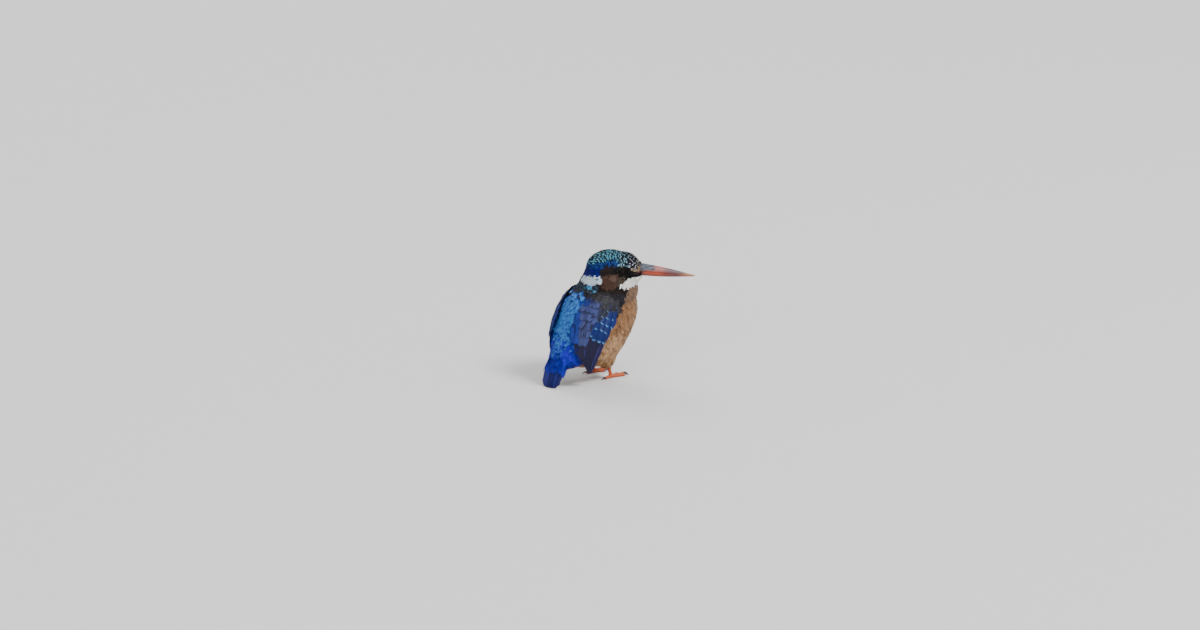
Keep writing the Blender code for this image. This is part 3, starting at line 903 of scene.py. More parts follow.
def bare_for_contour(points):
    """Where no contour feather grows: wings and what they hide, tail, bill and eyes."""
    ahead, side, up = to_head(points).T
    eye = (from_eye(ahead, up) < EYE_BARE) & (np.abs(side) > 5)
    along = to_trunk(points)[:, 1]
    wing = over_wing(points, 8) | over_wing(points, mix(3, -6, smooth(-along, 8, 16)), WING_OUTSIDE)
    return wing | over_tail(points) | eye | (ahead > BILL_BARE) | (points[:, 2] < 3)


def clear(spines, gaps, name):
    """Whether feathers lie near the skin and keep off the eyes and the bill, and buff ones off the wings."""
    ahead, side, up = to_head(spines).transpose(2, 0, 1)
    on_eye = (from_eye(ahead, up) < EYE_CLEAR) & (np.abs(side) > 5)
    kept = ~on_eye.any(axis=1) & (ahead < BILL_CLEAR).all(axis=1) & (gaps < GAP)
    if name in WARM_KINDS:
        middles, tips = spines[:, 2], spines[:, -1]
        kept &= ~(over_wing(middles, 1, 0.86) | over_wing(tips, 1, 0.86) | over_wing(tips, 3))
    return kept


FAMILIES = {"crown": CROWN_KINDS, "face": FACE_KINDS, "breast": BREAST_KINDS, "belly": BELLY_KINDS}


def family_of(name):
    """The family of coats that a kind of feather belongs to."""
    return next((family for family, names in FAMILIES.items() if name in names), "back")


def is_warm(names):
    """Whether kinds are buff ones of the under parts."""
    return np.isin(names, WARM_KINDS)


def kinds_grown(shown, jitter, mixes, rng):
    """The kinds of feathers at places: ragged at a marking's edge, and mixed where the body's colours mix."""
    plain = kinds_at(shown)
    near = kinds_at(shown + rng.normal(0, jitter, shown.shape))
    near = np.where(is_warm(near) == is_warm(plain), near, plain)
    far = kinds_at(shown + rng.normal(0, 3 * jitter, shown.shape))
    mixed = mixes & (is_warm(near) == is_warm(far)) & ~np.isin(far, HEAD_KINDS)
    kinds = np.where(mixed, far, near)
    return np.where(kinds == "gape", "mask", kinds)


def add_halves(coats, name, roots, feathers, kept, rng):
    """Adds the kept feathers of a kind to the coats of the left half and the right half."""
    left = to_head(roots)[:, 1] > 0
    for side, half in (("left", kept & left), ("right", kept & ~left)):
        coats[family_of(name), side].add(KINDS[name], some(feathers, half), rng)


def contour_coat(skin, coats, rng):
    """Feathers of the head, neck and body, set by their kind into the coats."""
    centres = skin.points[skin.faces].mean(axis=1)
    names = kinds_at(shown_at(centres, skin.face_normals))
    bare = bare_for_contour(centres)
    spacing_of = np.vectorize(lambda name: float(KINDS[name].spacing))
    on_head = np.isin(names, HEAD_KINDS)
    for field, jitter, mixes in ((on_head, HEAD_RAGGED, False), (~on_head, BODY_RAGGED, True)):
        spacings = np.where(field & ~bare, spacing_of(names), 0)
        roots, normals = scatter(skin, spacings, rng)
        kinds = kinds_grown(shown_at(roots, normals), jitter, mixes, rng)
        for name in np.unique(kinds):
            kind = KINDS[name]
            mine = kinds == name
            lengths = kind.length * (1 + rng.normal(0, 0.09, mine.sum()))
            depths = kind.depth * (1 + rng.normal(0, 0.10, mine.sum()))
            depths *= np.where(over_wing(roots[mine], BY_WING), BY_WING_DEPTH, 1)
            *placed, gaps = spines_from(skin, roots[mine], normals[mine], lengths, depths, rng)
            widths = kind.half_width * (1 + rng.normal(0, 0.08, len(gaps)))
            feathers = Feathers(*placed, widths, lengths, unwrapped(roots[mine]))
            add_halves(coats, name, roots[mine], feathers, clear(feathers.spines, gaps, name), rng)


def rim_coat(skin, coats, rng):
    """Rings of short feathers round the root of the bill, from its edge back over the rim of the skin."""
    count = RIM_FEATHERS
    for rim in RIMS:
        angles = 2 * math.pi * (np.arange(count) + 0.7 * rng.random(count)) / count
        lengths = RIM_LENGTH * (1 + rng.normal(0, 0.1, count))
        side = (BILL_HALF_WIDTH + RIM_OUT) * np.cos(angles)
        up = (BILL_OVER + RIM_OUT) * np.sin(angles)

        def place_at(share):
            places, normals = skin.nearest(bill_place(rim - share * lengths / BILL_LENGTH, side, up))
            return places + (0.05 + 0.33 * share) * normals, normals

        spines, ways, ups = spines_through(place_at)
        roots = spines[:, 0]
        widths = np.full(count, RIM_HALF_WIDTH)
        feathers = Feathers(spines, ways, ups, widths, lengths, unwrapped(roots))
        names = kinds_at(spines[:, 2])
        for name in np.unique(names[names != "gape"]):
            add_halves(coats, name, roots, feathers, names == name, rng)


# ---------------------------------------------------------------- wings and tail


def wing_surface(hand, down, across, rise):
    """Places over a folded wing: down from shoulder to tip, across from its upper edge to its lower one."""
    along = WING_TOP - WING_LENGTH * down
    upper, lower, half_width, half_depth = wing_sections(along)
    angle = np.radians(mix(upper, lower, across))
    power = 2 / SQUARENESS
    side = hand * (half_width + rise) * np.abs(np.sin(angle)) ** power
    back = (half_depth + rise) * np.sign(np.cos(angle)) * np.abs(np.cos(angle)) ** power
    return from_trunk(np.column_stack((side, along, back)))


def wing_skin_rise(down, across):
    """How far under a wing's outline its skin lies, as a negative height: less where the wing is thin."""
    return 0.25 * smooth(down + 0.3 * across, 0.75, 1.05) - 0.47


def wing_spines(hand, down, across, heights):
    """Spines, ways and normals over a wing between pairs of places; heights are over its skin."""
    step = 0.02

    def place_at(share):
        s, t = mix(*down, share), mix(*across, share)
        rise = mix(*heights, share) + wing_skin_rise(s, t)
        lengthwise = wing_surface(hand, s + step, t, rise) - wing_surface(hand, s - step, t, rise)
        crosswise = wing_surface(hand, s, t + step, rise) - wing_surface(hand, s, t - step, rise)
        return wing_surface(hand, s, t, rise), -hand * unit(np.cross(lengthwise, crosswise))

    return spines_through(place_at)


Row = namedtuple("Row", "count start end across drift heights half_width")
WING_ROWS = {
    # feathers; where they start and end down the wing, and across it, for the highest and the lowest;
    # how far they drift across; their heights over the skin, for the lowest and the highest
    "primary": Row(11, (0.42, 0.36), (0.84, 0.995), (0.05, 0.96), (0.0, 0.0), (0.05, 0.20), 2.1),
    "secondary": Row(8, (0.36, 0.36), (0.68, 0.86), (0.10, 0.84), (0.02, 0.0), (0.24, 0.40), 2.2),
    "tertial": Row(4, (0.28, 0.34), (0.60, 0.74), (0.05, 0.30), (0.04, 0.04), (0.44, 0.60), 2.7),
}
# Where a row starts down the wing, its length, the gap between its feathers, their half width, their height
COVERT_ROWS = (
    (-0.005, 4.8, 2.2, 1.5, 0.62),
    (0.045, 5.2, 2.3, 1.6, 0.62),
    (0.10, 5.8, 2.5, 1.8, 0.60),
    (0.165, 6.8, 2.9, 2.0, 0.60),
    (0.24, 7.4, 3.0, 2.1, 0.58),
    (0.32, 8.0, 3.1, 2.1, 0.56),
    (0.40, 9.6, 3.1, 2.1, 0.50),
)
# Where a row starts down the wing, and its length
SCAPULAR_ROWS = (
    (-0.03, 5.6),
    (0.03, 6.4),
    (0.09, 7.4),
    (0.15, 8.6),
    (0.22, 9.8),
    (0.30, 11.0),
    (0.38, 12.0),
    (0.45, 12.4),
)
SCAPULARS, SCAPULARS_TOP, SCAPULARS_LOW = 6, -0.14, 0.33  # in a row, and from where to where across the wing
DUSKY_END, LESSER_END = 0.09, 0.13  # how far down the wing its dusky shoulder goes
RECTRICES = 12


def add_long(coat, name, placed, half_width, flip, cells, rng):
    """Adds a row of long feathers of a kind, each with its own cell of the map."""
    spines = placed[0]
    lengths = np.linalg.norm(spines[:, -1] - spines[:, 0], axis=1)
    widths = np.full(len(spines), half_width)
    coat.add(KINDS[name], Feathers(*placed, widths, lengths, cells(len(spines))), rng, flip, LONG_CELL)


def flight_row(row, hand, coat, cells, rng):
    """A row of long wing feathers, each over the next lower one."""
    share = np.linspace(0, 1, row.count)
    down = (mix(*row.start, share), mix(*row.end, share))
    across = mix(*row.across, share)
    drift = mix(*row.drift, share)
    height = mix(*row.heights[::-1], share)
    thin = 1 - 0.5 * smooth(down[1], 0.7, 1.0)
    placed = wing_spines(hand, down, (across, across + drift), (height * 0.6, height * thin))
    add_long(coat, "quill", placed, row.half_width, np.full(row.count, -float(hand)), cells, rng)


def covert_kinds(start, across, rng):
    """Dusky over the shoulder, then dull above and bright along the lower edge."""
    bright = across + rng.normal(0, 0.09, len(across)) > 0.66 - 0.5 * smooth(start, 0.1, 0.4)
    low = np.where(bright, "bright covert", "dull covert")
    return np.where(start + rng.normal(0, 0.02, len(across)) < LESSER_END, "lesser covert", low)


def wing_row(hand, down, across, heights, names, widths, lengths, coat, rng):
    """Adds a row of shorter wing feathers, each of its own kind."""
    placed = wing_spines(hand, down, across, heights)
    feathers = Feathers(*placed, widths, lengths, unwrapped(placed[0][:, 0]))
    for name in np.unique(names):
        coat.add(KINDS[name], some(feathers, names == name), rng)


def covert_rows(hand, coat, rng):
    """Feathers over the shoulder and the roots of the long ones, in rows like tiles."""
    for index, (start, length, spacing, half_width, height) in enumerate(COVERT_ROWS):
        upper, lower, width, _ = wing_sections(WING_TOP - WING_LENGTH * max(start, 0.02))
        count = max(3, round(math.radians(lower - upper) * width / spacing))
        across = (np.arange(count) + (0.3 if index % 2 else 0.8)) / count
        across = np.clip(across + rng.normal(0, 0.008, count), 0.04, 0.96)
        start = start + 0.02 * (across - 0.5) + rng.normal(0, 0.004, count)
        lengths = length * (1 + rng.normal(0, 0.05, count))
        heights = (np.full(count, height * 0.45), height + 0.12 * (1 - across))
        down = (start, start + lengths / WING_LENGTH)
        names = covert_kinds(start, across, rng)
        widths = half_width * (1 - 0.25 * smooth(across, 0.8, 1.0))
        wing_row(hand, down, (across, across - 0.01), heights, names, widths, lengths, coat, rng)


def scapulars(hand, coat, rng):
    """Long soft feathers from the shoulder that lie over the upper edge of the wing."""
    count = SCAPULARS
    for start, length in SCAPULAR_ROWS:
        across = np.linspace(SCAPULARS_TOP, SCAPULARS_LOW, count) + rng.normal(0, 0.012, count)
        start = start + rng.normal(0, 0.008, count)
        lengths = length * (1 + rng.normal(0, 0.06, count))
        ends = 1.15 - 0.5 * (across - SCAPULARS_TOP) + rng.normal(0, 0.03, count)
        heights = (np.full(count, 0.7), ends)
        down = (start, start + lengths / WING_LENGTH)
        blue = across + rng.normal(0, 0.05, count) < 0.25 * start - 0.06
        low = np.where(blue, "blue scapular", "scapular")
        names = np.where(start < DUSKY_END, "dusky", low)
        widths = np.where(start < DUSKY_END, 1.5, 1.9)
        wing_row(hand, down, (across, across + 0.02), heights, names, widths, lengths, coat, rng)


def tail_coat(coat, cells, rng):
    """Twelve tail feathers in a closed fan, seen from above and from below."""
    across = np.linspace(-1, 1, RECTRICES)
    tips = TAIL_TIP + TAIL_ROUNDING * np.abs(across) ** 2.2
    for face, under in ((1, 0.0), (-1, TAIL_THICK)):

        def place_at(share):
            side = across * mix(TAIL_ROOT_SPREAD, TAIL_HALF_WIDTH - TAIL_INSET, share)
            along = mix(TAIL_ROOT, tips, share)
            back = TAIL_BACK - TAIL_DROOP * (across * share) ** 2 - under
            order = 0.30 * (1 - np.abs(across)) * face
            place = from_trunk(np.column_stack((side, along, back + order - 0.1 * face)))
            return place, unit(face * BACK + 0.14 * across[:, None] * LEFT)

        flip = np.where(across > 0, -1.0, 1.0) * face
        add_long(coat, "rectrix", spines_through(place_at), KINDS["rectrix"].half_width, flip, cells, rng)


def cell_maker():
    """Hands out cells of the map for the long feathers, row by row."""
    given = 0
    columns, step_across, step_up = 36, 0.026, 0.125

    def cells(count):
        nonlocal given
        numbers = np.arange(given, given + count)
        given += count
        return np.column_stack((
            0.02 + step_across * (numbers % columns),
            0.07 + step_up * (numbers // columns),
        ))

    return cells


# ---------------------------------------------------------------- bare parts


def eye_axes(hand):
    """The way an eye looks, and two ways across it: ahead and up."""
    out = unit(hand * HEAD_LEFT + 0.16 * AHEAD + 0.05 * UP)
    ahead = unit(AHEAD - np.dot(AHEAD, out) * out)
    return out, ahead, np.cross(out, ahead) * hand


def lathe(centre, hand, profile, stretch, sides):
    """Points and triangles of a profile of (radius, height) turned round an eye's axis."""
    out, ahead, up = eye_axes(hand)
    angles = 2 * math.pi * np.arange(sides) / sides
    rings = [
        centre
        + height * out
        + radius * (stretch * np.outer(np.cos(angles), ahead) + np.outer(np.sin(angles), up))
        for radius, height in profile
    ]
    return np.concatenate(rings), ring_faces(len(profile), sides)


# Section of the bare ring round an eye: (radius, height over the eye's middle, how far its beads stand out)
LID = (
    (2.34, 0.3, 0.0),
    (2.30, 1.0, 0.0),
    (2.22, 1.34, 0.3),
    (2.12, 1.46, 0.8),
    (2.0, 1.51, 1.0),
    (1.91, 1.46, 0.8),
    (1.86, 1.3, 0.3),
    (1.86, 0.8, 0.0),
)
LID_BEADS, LID_BEAD, LID_COLOUR = 24, 0.045, (0.012, 0.011, 0.012)
# Lips at the corner of the mouth: (height from the gape line, thickness, colour)
LIPS = ((0.30, 0.36, (0.055, 0.012, 0.011)), (-0.28, 0.32, (0.042, 0.010, 0.010)))
LIP_FRONT, LIP_BACK = 18.2, 11.2
PUPIL_COLOUR, IRIS_COLOUR = (0.0012, 0.0012, 0.0012), (0.010, 0.0045, 0.0026)


def lid(name):
    """A ring of bare beaded skin round the eye, lying on the eyeball."""
    sides = 120
    points, faces = lathe(EYES[name], HANDS[name], [row[:2] for row in LID], EYE_STRETCH, sides)
    beads = np.tile(np.cos(LID_BEADS * 2 * math.pi * np.arange(sides) / sides), len(LID))
    relief = (beads * np.repeat([row[2] for row in LID], sides))[:, None]
    points = points + LID_BEAD * relief * eye_axes(HANDS[name])[0]
    # painted highlight and shade: the beads' crests lighter and the hollows between them darker
    return points, faces, np.array(LID_COLOUR) * (1 + 0.5 * relief)


def gape(name, skin):
    """The bare corner of the mouth: two lips that run back from the bill towards the cheek."""
    rows = 40
    t = np.linspace(0, 1, rows)
    parts = []
    for up, thick, colour in LIPS:
        ahead = mix(LIP_FRONT, LIP_BACK, t)
        height = np.interp(ahead, *np.array(GAPE_LINE).T) + up * (1 - t)
        line = from_head(np.column_stack((ahead, np.full(rows, HANDS[name] * 8.0), height)))
        places, normals = skin.nearest(line)
        points, faces = tube(places + 0.12 * normals, thick * np.sqrt(1 - 0.98 * t), 14)
        parts.append((points, faces, np.tile(np.array(colour), (len(points), 1))))
    return together(parts)


def eyeball(name, material):
    """A wet ball with a dark brown iris and a black pupil."""
    sides = 64
    radius = 0.99 * EYE_RADIUS
    steps = np.linspace(0.04, math.pi - 0.04, 40)
    profile = [(radius * math.sin(a), radius * math.cos(a)) for a in steps]
    points, faces = lathe(EYES[name], HANDS[name], profile, 1.0, sides)
    from_middle = np.repeat([r if h > 0 else EYE_RADIUS for r, h in profile], sides)
    spokes = 1 + 0.25 * np.sin(np.tile(np.arange(sides) * 7.0, len(profile)))
    pupil = np.tile(np.array(PUPIL_COLOUR), (len(points), 1))
    colours = mix(pupil, np.outer(spokes, IRIS_COLOUR), smooth(from_middle, 1.25, 1.4)[:, None])
    made = piece_of("eyeball_" + name, (points, faces, colours), material)
    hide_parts("eye_" + name)
    return made


def bill_place(t, side, up):
    """A place on the bill: t from the feathers to the tip, up from the gape line."""
    ahead = BILL_LENGTH * t
    return from_head(np.column_stack((
        BILL_AT[0] + ahead * math.cos(BILL_PITCH) - up * math.sin(BILL_PITCH),
        side,
        BILL_AT[1] + ahead * math.sin(BILL_PITCH) + up * math.cos(BILL_PITCH),
    )))


# Colours along the bill, each (from the feathers to the tip, colour). The upper half's first zones are dark
# horn made bluish grey by a painted reflection of the sky.
UPPER_ZONES = (
    (0.0, (0.045, 0.050, 0.065)),
    (0.08, (0.10, 0.115, 0.15)),
    (0.20, (0.13, 0.13, 0.155)),
    (0.27, (0.36, 0.13, 0.12)),
    (0.36, (0.40, 0.14, 0.12)),
    (0.46, (0.17, 0.09, 0.095)),
    (0.62, (0.12, 0.08, 0.09)),
    (0.74, (0.14, 0.085, 0.08)),
    (0.82, (0.42, 0.20, 0.12)),
    (1.0, (0.50, 0.27, 0.17)),
)
LOWER_ZONES = (
    (0.0, (0.10, 0.018, 0.012)),
    (0.06, (0.26, 0.038, 0.016)),
    (0.13, (0.40, 0.052, 0.014)),
    (0.34, (0.42, 0.050, 0.014)),
    (0.46, (0.21, 0.032, 0.022)),
    (0.66, (0.15, 0.036, 0.032)),
    (0.76, (0.36, 0.11, 0.055)),
    (1.0, (0.48, 0.21, 0.12)),
)


def zone_colours(t, zones):
    """The colours of zones at places along the bill."""
    stations = [at for at, _ in zones]
    return np.column_stack([np.interp(t, stations, [colour[k] for _, colour in zones]) for k in range(3)])


BILL_TONE = 0.84
TIP_START, TIP_LENGTH = 0.98, 0.0205  # of its rounded tip
NOSTRIL_AT, NOSTRIL_HALF, NOSTRIL_DEPTH = 0.085, 0.038, 0.22


def bill_colours(t, angle, over):
    """Red along the cutting edges; over them dusky and blotched, but for a red patch and the tip. The lower
    half is darker towards its underside: painted shade.
    """
    t = t + 0.03 * np.sin(2 * angle)
    red = zone_colours(t, LOWER_ZONES)
    if not over:
        # painted shade: the lower half darker where it faces down
        return red * (1 - 0.62 * smooth(np.sin(angle), 0.35, 0.9))[:, None]
    low = 0.9 * (1 - smooth(np.sin(angle), 0.02, 0.34)) * smooth(t, 0.02, 0.12)
    blotches = np.sin(29 * t + 2 * np.sin(3 * angle)) * np.sin(4 * angle + 17 * t)
    dark = 0.55 * smooth(blotches, 0.3, 0.8) * (1 - smooth(t, 0.22, 0.4))
    return mix(zone_colours(t, UPPER_ZONES), red, low[:, None]) * (1 - dark)[:, None]


def bill_ring(t, angle, inner, over):
    """The ring of a bill's half at t along it: out to the side, up from the gape line, and its nostril."""
    reach = max(t, 0)
    blunt = math.sqrt(max(0.1, 1 - max(0, (t - TIP_START) / TIP_LENGTH) ** 2))
    half_width = mix(BILL_HALF_WIDTH, BILL_TIP, reach**1.05) * blunt
    height, power = (BILL_OVER, 1.45) if over else (BILL_UNDER, 1.8)
    rise = max(mix(height, BILL_TIP, reach**power) * blunt, BILL_EDGE)
    ridge = 0.04 * np.exp(-(((angle - math.pi / 2) / 0.22) ** 2))
    side = half_width * np.sign(np.cos(angle)) * np.abs(np.cos(angle)) ** 0.92 * np.where(inner, 0.8, 1)
    up = (rise - BILL_EDGE) * (np.sin(angle) ** 0.95 * (0.96 + ridge)) + np.where(inner, 0.01, BILL_EDGE)
    nostril = math.exp(-(((t - NOSTRIL_AT) / NOSTRIL_HALF) ** 4)) if over else 0
    slit = nostril * np.exp(-(((np.sin(angle) - 0.70) / 0.05) ** 2))
    return side * (1 - 0.06 * slit), up - NOSTRIL_DEPTH * slit, slit


def bill_half(over, material):
    """One half of the bill, with its ridge, cutting edge and nostril."""
    name = "upper" if over else "lower"
    rows, sides = 90, 40
    angle = np.append(math.pi * np.arange(sides) / (sides - 1), (math.pi, 0.0))
    inner = np.arange(sides + 2) >= sides  # inside the cutting edges, where the halves meet
    points, colours = [], []
    for row in range(rows):
        t = mix(-BILL_ROOT / BILL_LENGTH, 1.0, (row / (rows - 1)) ** 0.95)
        side, up, slit = bill_ring(t, angle, inner, over)
        along = np.full(sides + 2, t)
        points.append(bill_place(along, side, up if over else -up))
        tone = BILL_TONE * bill_colours(along, angle, over)
        # painted shade: the nostril's slit is darkened near black as the shade in its opening
        colours.append(tone * (1 - 0.93 * slit)[:, None])
    arrays = (np.concatenate(points), ring_faces(rows, sides + 2), np.concatenate(colours))
    made = piece_of("bill_" + name + "_horn", arrays, material)
    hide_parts("bill_" + name)
    return made


def ankle_of(name):
    """The middle of the shank where it meets the toes, over the ground."""
    low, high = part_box("leg_" + name)
    foot_low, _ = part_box("foot_" + name)
    side = (low[0] + high[0]) / 2 / MM
    front = foot_low[1] / MM + TOES["middle"].length + 0.85 * TOES["middle"].radius
    return np.array((side, front, 0.0))


def toe_place(ankle, hand, toe, reach, up):
    """Places in line with a toe, out from the ankle."""
    angle = math.radians(toe.turn)
    side = hand * math.sin(angle) * reach
    return np.column_stack((ankle[0] + side, ankle[1] - math.cos(angle) * reach, up))


def scutes(length, pitch, depth, count):
    """What a toe's or shank's radius is multiplied by along it, as each scute rises and drops."""
    place = np.linspace(0, length / pitch, count)
    saw = place - np.floor(place)
    return 1 + depth * (np.sin(math.pi * saw) ** 0.6 - 0.5)


def shank(hand, ankle):
    """A shank, from the ball of the foot up into the belly."""
    rows = 110
    t = np.linspace(0, 1, rows)
    knee = ankle + np.array((hand * 0.4, KNEE_BACK, KNEE_UP))
    foot = ankle + np.array((0, 0, ANKLE_UP - 0.6))
    shape = 1.2 - 0.3 * np.sin(math.pi * np.clip(t * 1.2, 0, 1)) + 0.2 * t
    return tube(foot + t[:, None] * (knee - foot), SHANK_RADIUS * shape * scutes(12, 0.85, 0.07, rows), 28)


def toe_skin(hand, ankle, toe):
    """A toe, with its joints and its blunt end."""
    rows = 90
    t = np.linspace(0, 1, rows)
    up = toe.radius * (1.1 - 0.3 * t)
    centres = toe_place(ankle, hand, toe, t * (toe.length + 0.2), up)
    joints = 1.2 - 0.36 * t + 0.09 * np.cos(4 * math.pi * t)
    ends = np.sqrt(np.clip(1 - np.clip((t - 0.93) / 0.075, 0, 1) ** 2, 0.12, 1))
    return tube(centres, toe.radius * joints * ends * scutes(toe.length, 0.62, 0.08, rows), 24)


def ball_of_foot(ankle):
    """What joins the toes to the shank."""
    bm = bmesh.new()
    sphere(bm, ankle + np.array((0, 0, BALL[2])), BALL, np.eye(3))
    bmesh.ops.triangulate(bm, faces=bm.faces)
    mesh = bpy.data.meshes.new("ball of the foot")
    bm.to_mesh(mesh)
    bm.free()
    return arrays_of(mesh)


def leg_and_foot(name):
    """Shank and toes with their scutes."""
    hand, ankle = HANDS[name], ankle_of(name)
    toes = [toe_skin(hand, ankle, toe) for toe in TOES.values()]
    points, faces = together([shank(hand, ankle), *toes, ball_of_foot(ankle)])
    points[:, 2] = np.maximum(points[:, 2], 0.0)
    colours = np.tile(np.array(LEG_COLOUR), (len(points), 1))
    # painted shade: the legs darker higher up, under the belly
    shade = 1 - 0.35 * smooth(points[:, 2], 3.0, 9.0)
    return points, faces, colours * shade[:, None]


def claws(name, material):
    """Curved horns at the ends of the toes."""
    hand, ankle = HANDS[name], ankle_of(name)
    sides = 20
    t = np.linspace(0, 1, 28)
    share = np.repeat(t, sides)[:, None] ** 0.5
    for toe_name, toe in TOES.items():
        up = toe.radius * 0.95 + 0.5 * np.sin(math.pi * t) - (toe.radius * 0.95 - 0.2) * t**1.5
        centres = toe_place(ankle, hand, toe, toe.length - 0.25 + (toe.claw + 0.7) * t, up)
        points, faces = tube(centres, toe.radius * 0.66 * (1 - t) ** 0.75 + 0.05, sides)
        colours = mix(np.array(CLAW_ROOT_COLOUR), np.array(CLAW_TIP_COLOUR), share)
        made = piece_of(f"horn_{toe_name}_{name}", (points, faces, colours), material)
        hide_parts(f"claw_{toe_name}_{name}")
        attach(made, "root")


# ---------------------------------------------------------------- materials

GRAIN_SHADE = (0.72, 1.28)
BARB_SHADE = 0.32
LOOKS = {
    # roughness, how much it varies, scale of the grain, strength of the bump, barbs and their sweep, and
    # the shader's other sockets
    "feathers": (0.55, 0.10, 900, 0.5, (7.0, 0.45), {"Specular IOR Level": 0.12}),
    "wing_quills": (0.45, 0.08, 1200, 0.25, (6.0, 0.2), {"Specular IOR Level": 0.2}),
    "skin": (0.62, 0.10, 1500, 0.4, None, {"Specular IOR Level": 0.25}),
    "bill_horn": (0.34, 0.08, 700, 0.25, None, {}),
    "claw_horn": (0.36, 0.08, 900, 0.25, None, {}),
    "wet_eye": (0.04, 0.02, 500, 0.0, None, {"IOR": 1.38, "Specular IOR Level": 0.22}),
}


def maths(tree, operation, first, second=None):
    """A maths node over a socket and a number or another socket."""
    made = tree.nodes.new("ShaderNodeMath")
    made.operation = operation
    for socket, value in zip(made.inputs, (first, second)):
        if isinstance(value, bpy.types.NodeSocket):
            tree.links.new(value, socket)
        elif value is not None:
            socket.default_value = value
    return made.outputs[0]


def barb_waves(tree, barbs):
    """Fine ridges that run from the shaft out to the edge of the vane: how many, and how far they sweep."""
    count, sweep = barbs
    place = tree.nodes.new("ShaderNodeAttribute")
    place.attribute_name = "web"
    split = tree.nodes.new("ShaderNodeSeparateXYZ")
    tree.links.new(place.outputs["Vector"], split.inputs[0])
    across, along, length = split.outputs
    swept = maths(tree, "SUBTRACT", along, maths(tree, "MULTIPLY", across, sweep))
    turns = maths(tree, "MULTIPLY", maths(tree, "MULTIPLY", swept, length), count * 2 * math.pi)
    wave = maths(tree, "MULTIPLY", maths(tree, "SINE", turns), 0.5)
    return maths(tree, "ADD", wave, 0.5)


def ranged(tree, value, low, high):
    """A number from low to high for a value from 0 to 1."""
    made = tree.nodes.new("ShaderNodeMapRange")
    made.inputs["To Min"].default_value = low
    made.inputs["To Max"].default_value = high
    tree.links.new(value, made.inputs["Value"])
    return made.outputs["Result"]


def multiplied(tree, colour, other, share):
    """A colour multiplied by another, by a share."""
    made = tree.nodes.new("ShaderNodeMix")
    made.data_type = "RGBA"
    made.blend_type = "MULTIPLY"
    made.inputs[0].default_value = share
    tree.links.new(colour, made.inputs[6])
    tree.links.new(other, made.inputs[7])
    return made.outputs[2]


def marked_material(name, roughness, spread, grain, bump, barbs, sockets):
    """A Principled shader whose colour is the markings, varied by a grain that also roughens it."""
    made = bpy.data.materials.new(name)
    made.use_nodes = True
    tree = made.node_tree
    shader = tree.nodes["Principled BSDF"]
    markings = tree.nodes.new("ShaderNodeVertexColor")
    markings.layer_name = "markings"
    place = tree.nodes.new("ShaderNodeTexCoord")
    noise = tree.nodes.new("ShaderNodeTexNoise")
    noise.inputs["Scale"].default_value = grain
    noise.inputs["Detail"].default_value = 4
    tree.links.new(place.outputs["Object"], noise.inputs["Vector"])
    height = noise.outputs["Fac"]
    colour = multiplied(tree, markings.outputs["Color"], ranged(tree, height, *GRAIN_SHADE), 1)
    rough = ranged(tree, height, roughness - spread, roughness + spread)
    if barbs:
        height = barb_waves(tree, barbs)
        colour = multiplied(tree, colour, height, BARB_SHADE)
    relief = tree.nodes.new("ShaderNodeBump")
    relief.inputs["Strength"].default_value = bump
    relief.inputs["Distance"].default_value = 0.1 * MM
    tree.links.new(height, relief.inputs["Height"])
    tree.links.new(colour, shader.inputs["Base Color"])
    tree.links.new(rough, shader.inputs["Roughness"])
    tree.links.new(relief.outputs["Normal"], shader.inputs["Normal"])
    for socket, value in sockets.items():
        shader.inputs[socket].default_value = value
    return made


def plain_material(name, colour, roughness):
    """A material of one colour."""
    made = bpy.data.materials.new(name)
    made.use_nodes = True
    shader = made.node_tree.nodes["Principled BSDF"]
    shader.inputs["Base Color"].default_value = (*colour, 1)
    shader.inputs["Roughness"].default_value = roughness
    return made


# ---------------------------------------------------------------- stage

FLOOR_SIZE, FLOOR_COLOUR = 6.0, (0.66, 0.65, 0.64)
LIGHTS_TARGET, SKY_COLOUR, SKY_STRENGTH = (0, 0, 0.045), (0.93, 0.96, 1.0, 1), 0.74


def floor():
    """A plain pale floor."""
    bm = bmesh.new()
    bmesh.ops.create_grid(bm, x_segments=1, y_segments=1, size=FLOOR_SIZE)
    mesh = bpy.data.meshes.new("floor")
    bm.to_mesh(mesh)
    bm.free()
    made = link("floor", mesh)
    made.data.materials.append(plain_material("floor", FLOOR_COLOUR, 0.7))


def area_light(name, place, size, power):
    """A soft round light that looks at the model."""
    light = bpy.data.lights.new(name, "AREA")
    light.shape = "DISK"
    light.size = size
    light.energy = power
    made = link(name, light)
    made.location = place
    made.rotation_euler = (Vector(LIGHTS_TARGET) - Vector(place)).to_track_quat("-Z", "Y").to_euler()


def lights():
    """A broad soft light from above and the camera's right, weaker ones from its left and from behind."""
    area_light("key", (-2.25, -1.05, 3.0), 1.5, 165)
    area_light("fill", (-1.8, 3.6, 1.65), 3.0, 84)
    area_light("rim", (2.7, -0.9, 2.4), 2.1, 66)
    world = bpy.data.worlds.new("studio")
    world.use_nodes = True
    background = world.node_tree.nodes["Background"]
    background.inputs["Color"].default_value = SKY_COLOUR
    background.inputs["Strength"].default_value = SKY_STRENGTH
    bpy.context.scene.world = world


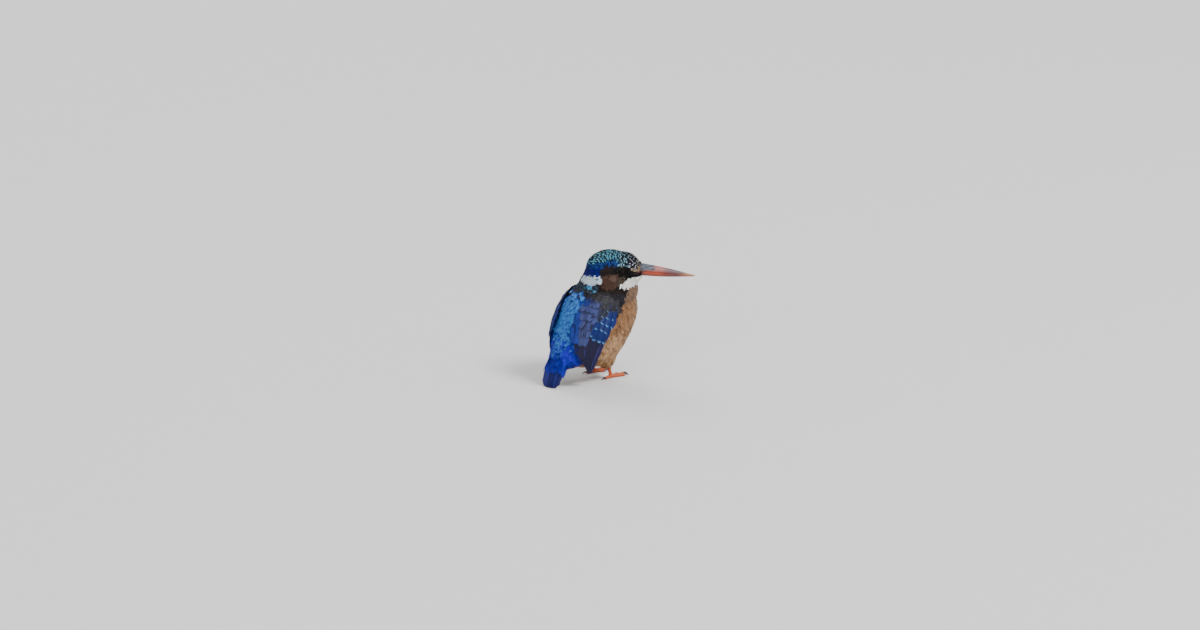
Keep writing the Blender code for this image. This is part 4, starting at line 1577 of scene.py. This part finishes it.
def camera():
    """A view from behind the bird's right side, through a long lens."""
    look = np.array((
        -math.sin(AZIMUTH) * math.cos(ELEVATION),
        math.cos(AZIMUTH) * math.cos(ELEVATION),
        -math.sin(ELEVATION),
    ))
    right = np.array((math.cos(AZIMUTH), math.sin(AZIMUTH), 0.0))
    up = np.cross(right, look)
    tip = bill_place(np.array((1.0,)), 0.0, 0.0)[0]
    middle = tip - BILL_TIP_IN_VIEW[0] * right - BILL_TIP_IN_VIEW[1] * up
    distance = VIEW_WIDTH * LENS / SENSOR
    data = bpy.data.cameras.new("camera")
    data.lens = LENS
    data.sensor_width = SENSOR
    data.clip_end = 50
    made = link("camera", data)
    made.location = Vector((middle - distance * look) * MM)
    made.rotation_euler = Vector(look).to_track_quat("-Z", "Y").to_euler()
    bpy.context.scene.camera = made


# ---------------------------------------------------------------- the whole


def skin_piece(skin, material):
    """The one skin, with eyelids, corners of the mouth, legs and feet."""
    parts = [(skin.points, skin.faces, skin_colours(skin.points, skin.normals))]
    for name in HANDS:
        parts += [lid(name), gape(name, skin), leg_and_foot(name)]
    made = piece_of("skin", together(parts), material)
    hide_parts(*FLESH, *FEET)
    return made


def coat_pieces(skin, feather, glossy, rng):
    """All of the coat: quills, coverts, and the small feathers by family and side."""
    coats = {(family, side): Coat() for family in (*FAMILIES, "back") for side in HANDS}
    contour_coat(skin, coats, rng)
    rim_coat(skin, coats, rng)
    quills, coverts = Coat(), Coat()
    cells = cell_maker()
    for hand in HANDS.values():
        for row in WING_ROWS.values():
            flight_row(row, hand, quills, cells, rng)
        covert_rows(hand, coverts, rng)
        scapulars(hand, coverts, rng)
    tail_coat(quills, cells, rng)
    pieces = [
        quills.build("coat_quills", glossy, "flight_feathers"),
        coverts.build("coat_coverts", glossy, "flight_feathers"),
    ]
    for (family, side), coat in coats.items():
        slot = "crown_feathers" if family in ("crown", "face") else "back_feathers"
        pieces.append(coat.build(f"coat_{family}_{side}", feather, slot))
    return pieces


def main():
    """Makes every piece, then the floor, the lights and the camera."""
    looks = {name: marked_material(name, *values) for name, values in LOOKS.items()}
    skin = body_skin(envelope())
    pieces = [skin_piece(skin, looks["skin"])]
    pieces += coat_pieces(skin, looks["feathers"], looks["wing_quills"], np.random.default_rng(SEED))
    pieces += [bill_half(over, looks["bill_horn"]) for over in (True, False)]
    pieces += [eyeball(name, looks["wet_eye"]) for name in HANDS]
    for piece in pieces:
        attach(piece, "root")
    for name in HANDS:
        claws(name, looks["claw_horn"])
    floor()
    lights()
    camera()


main()
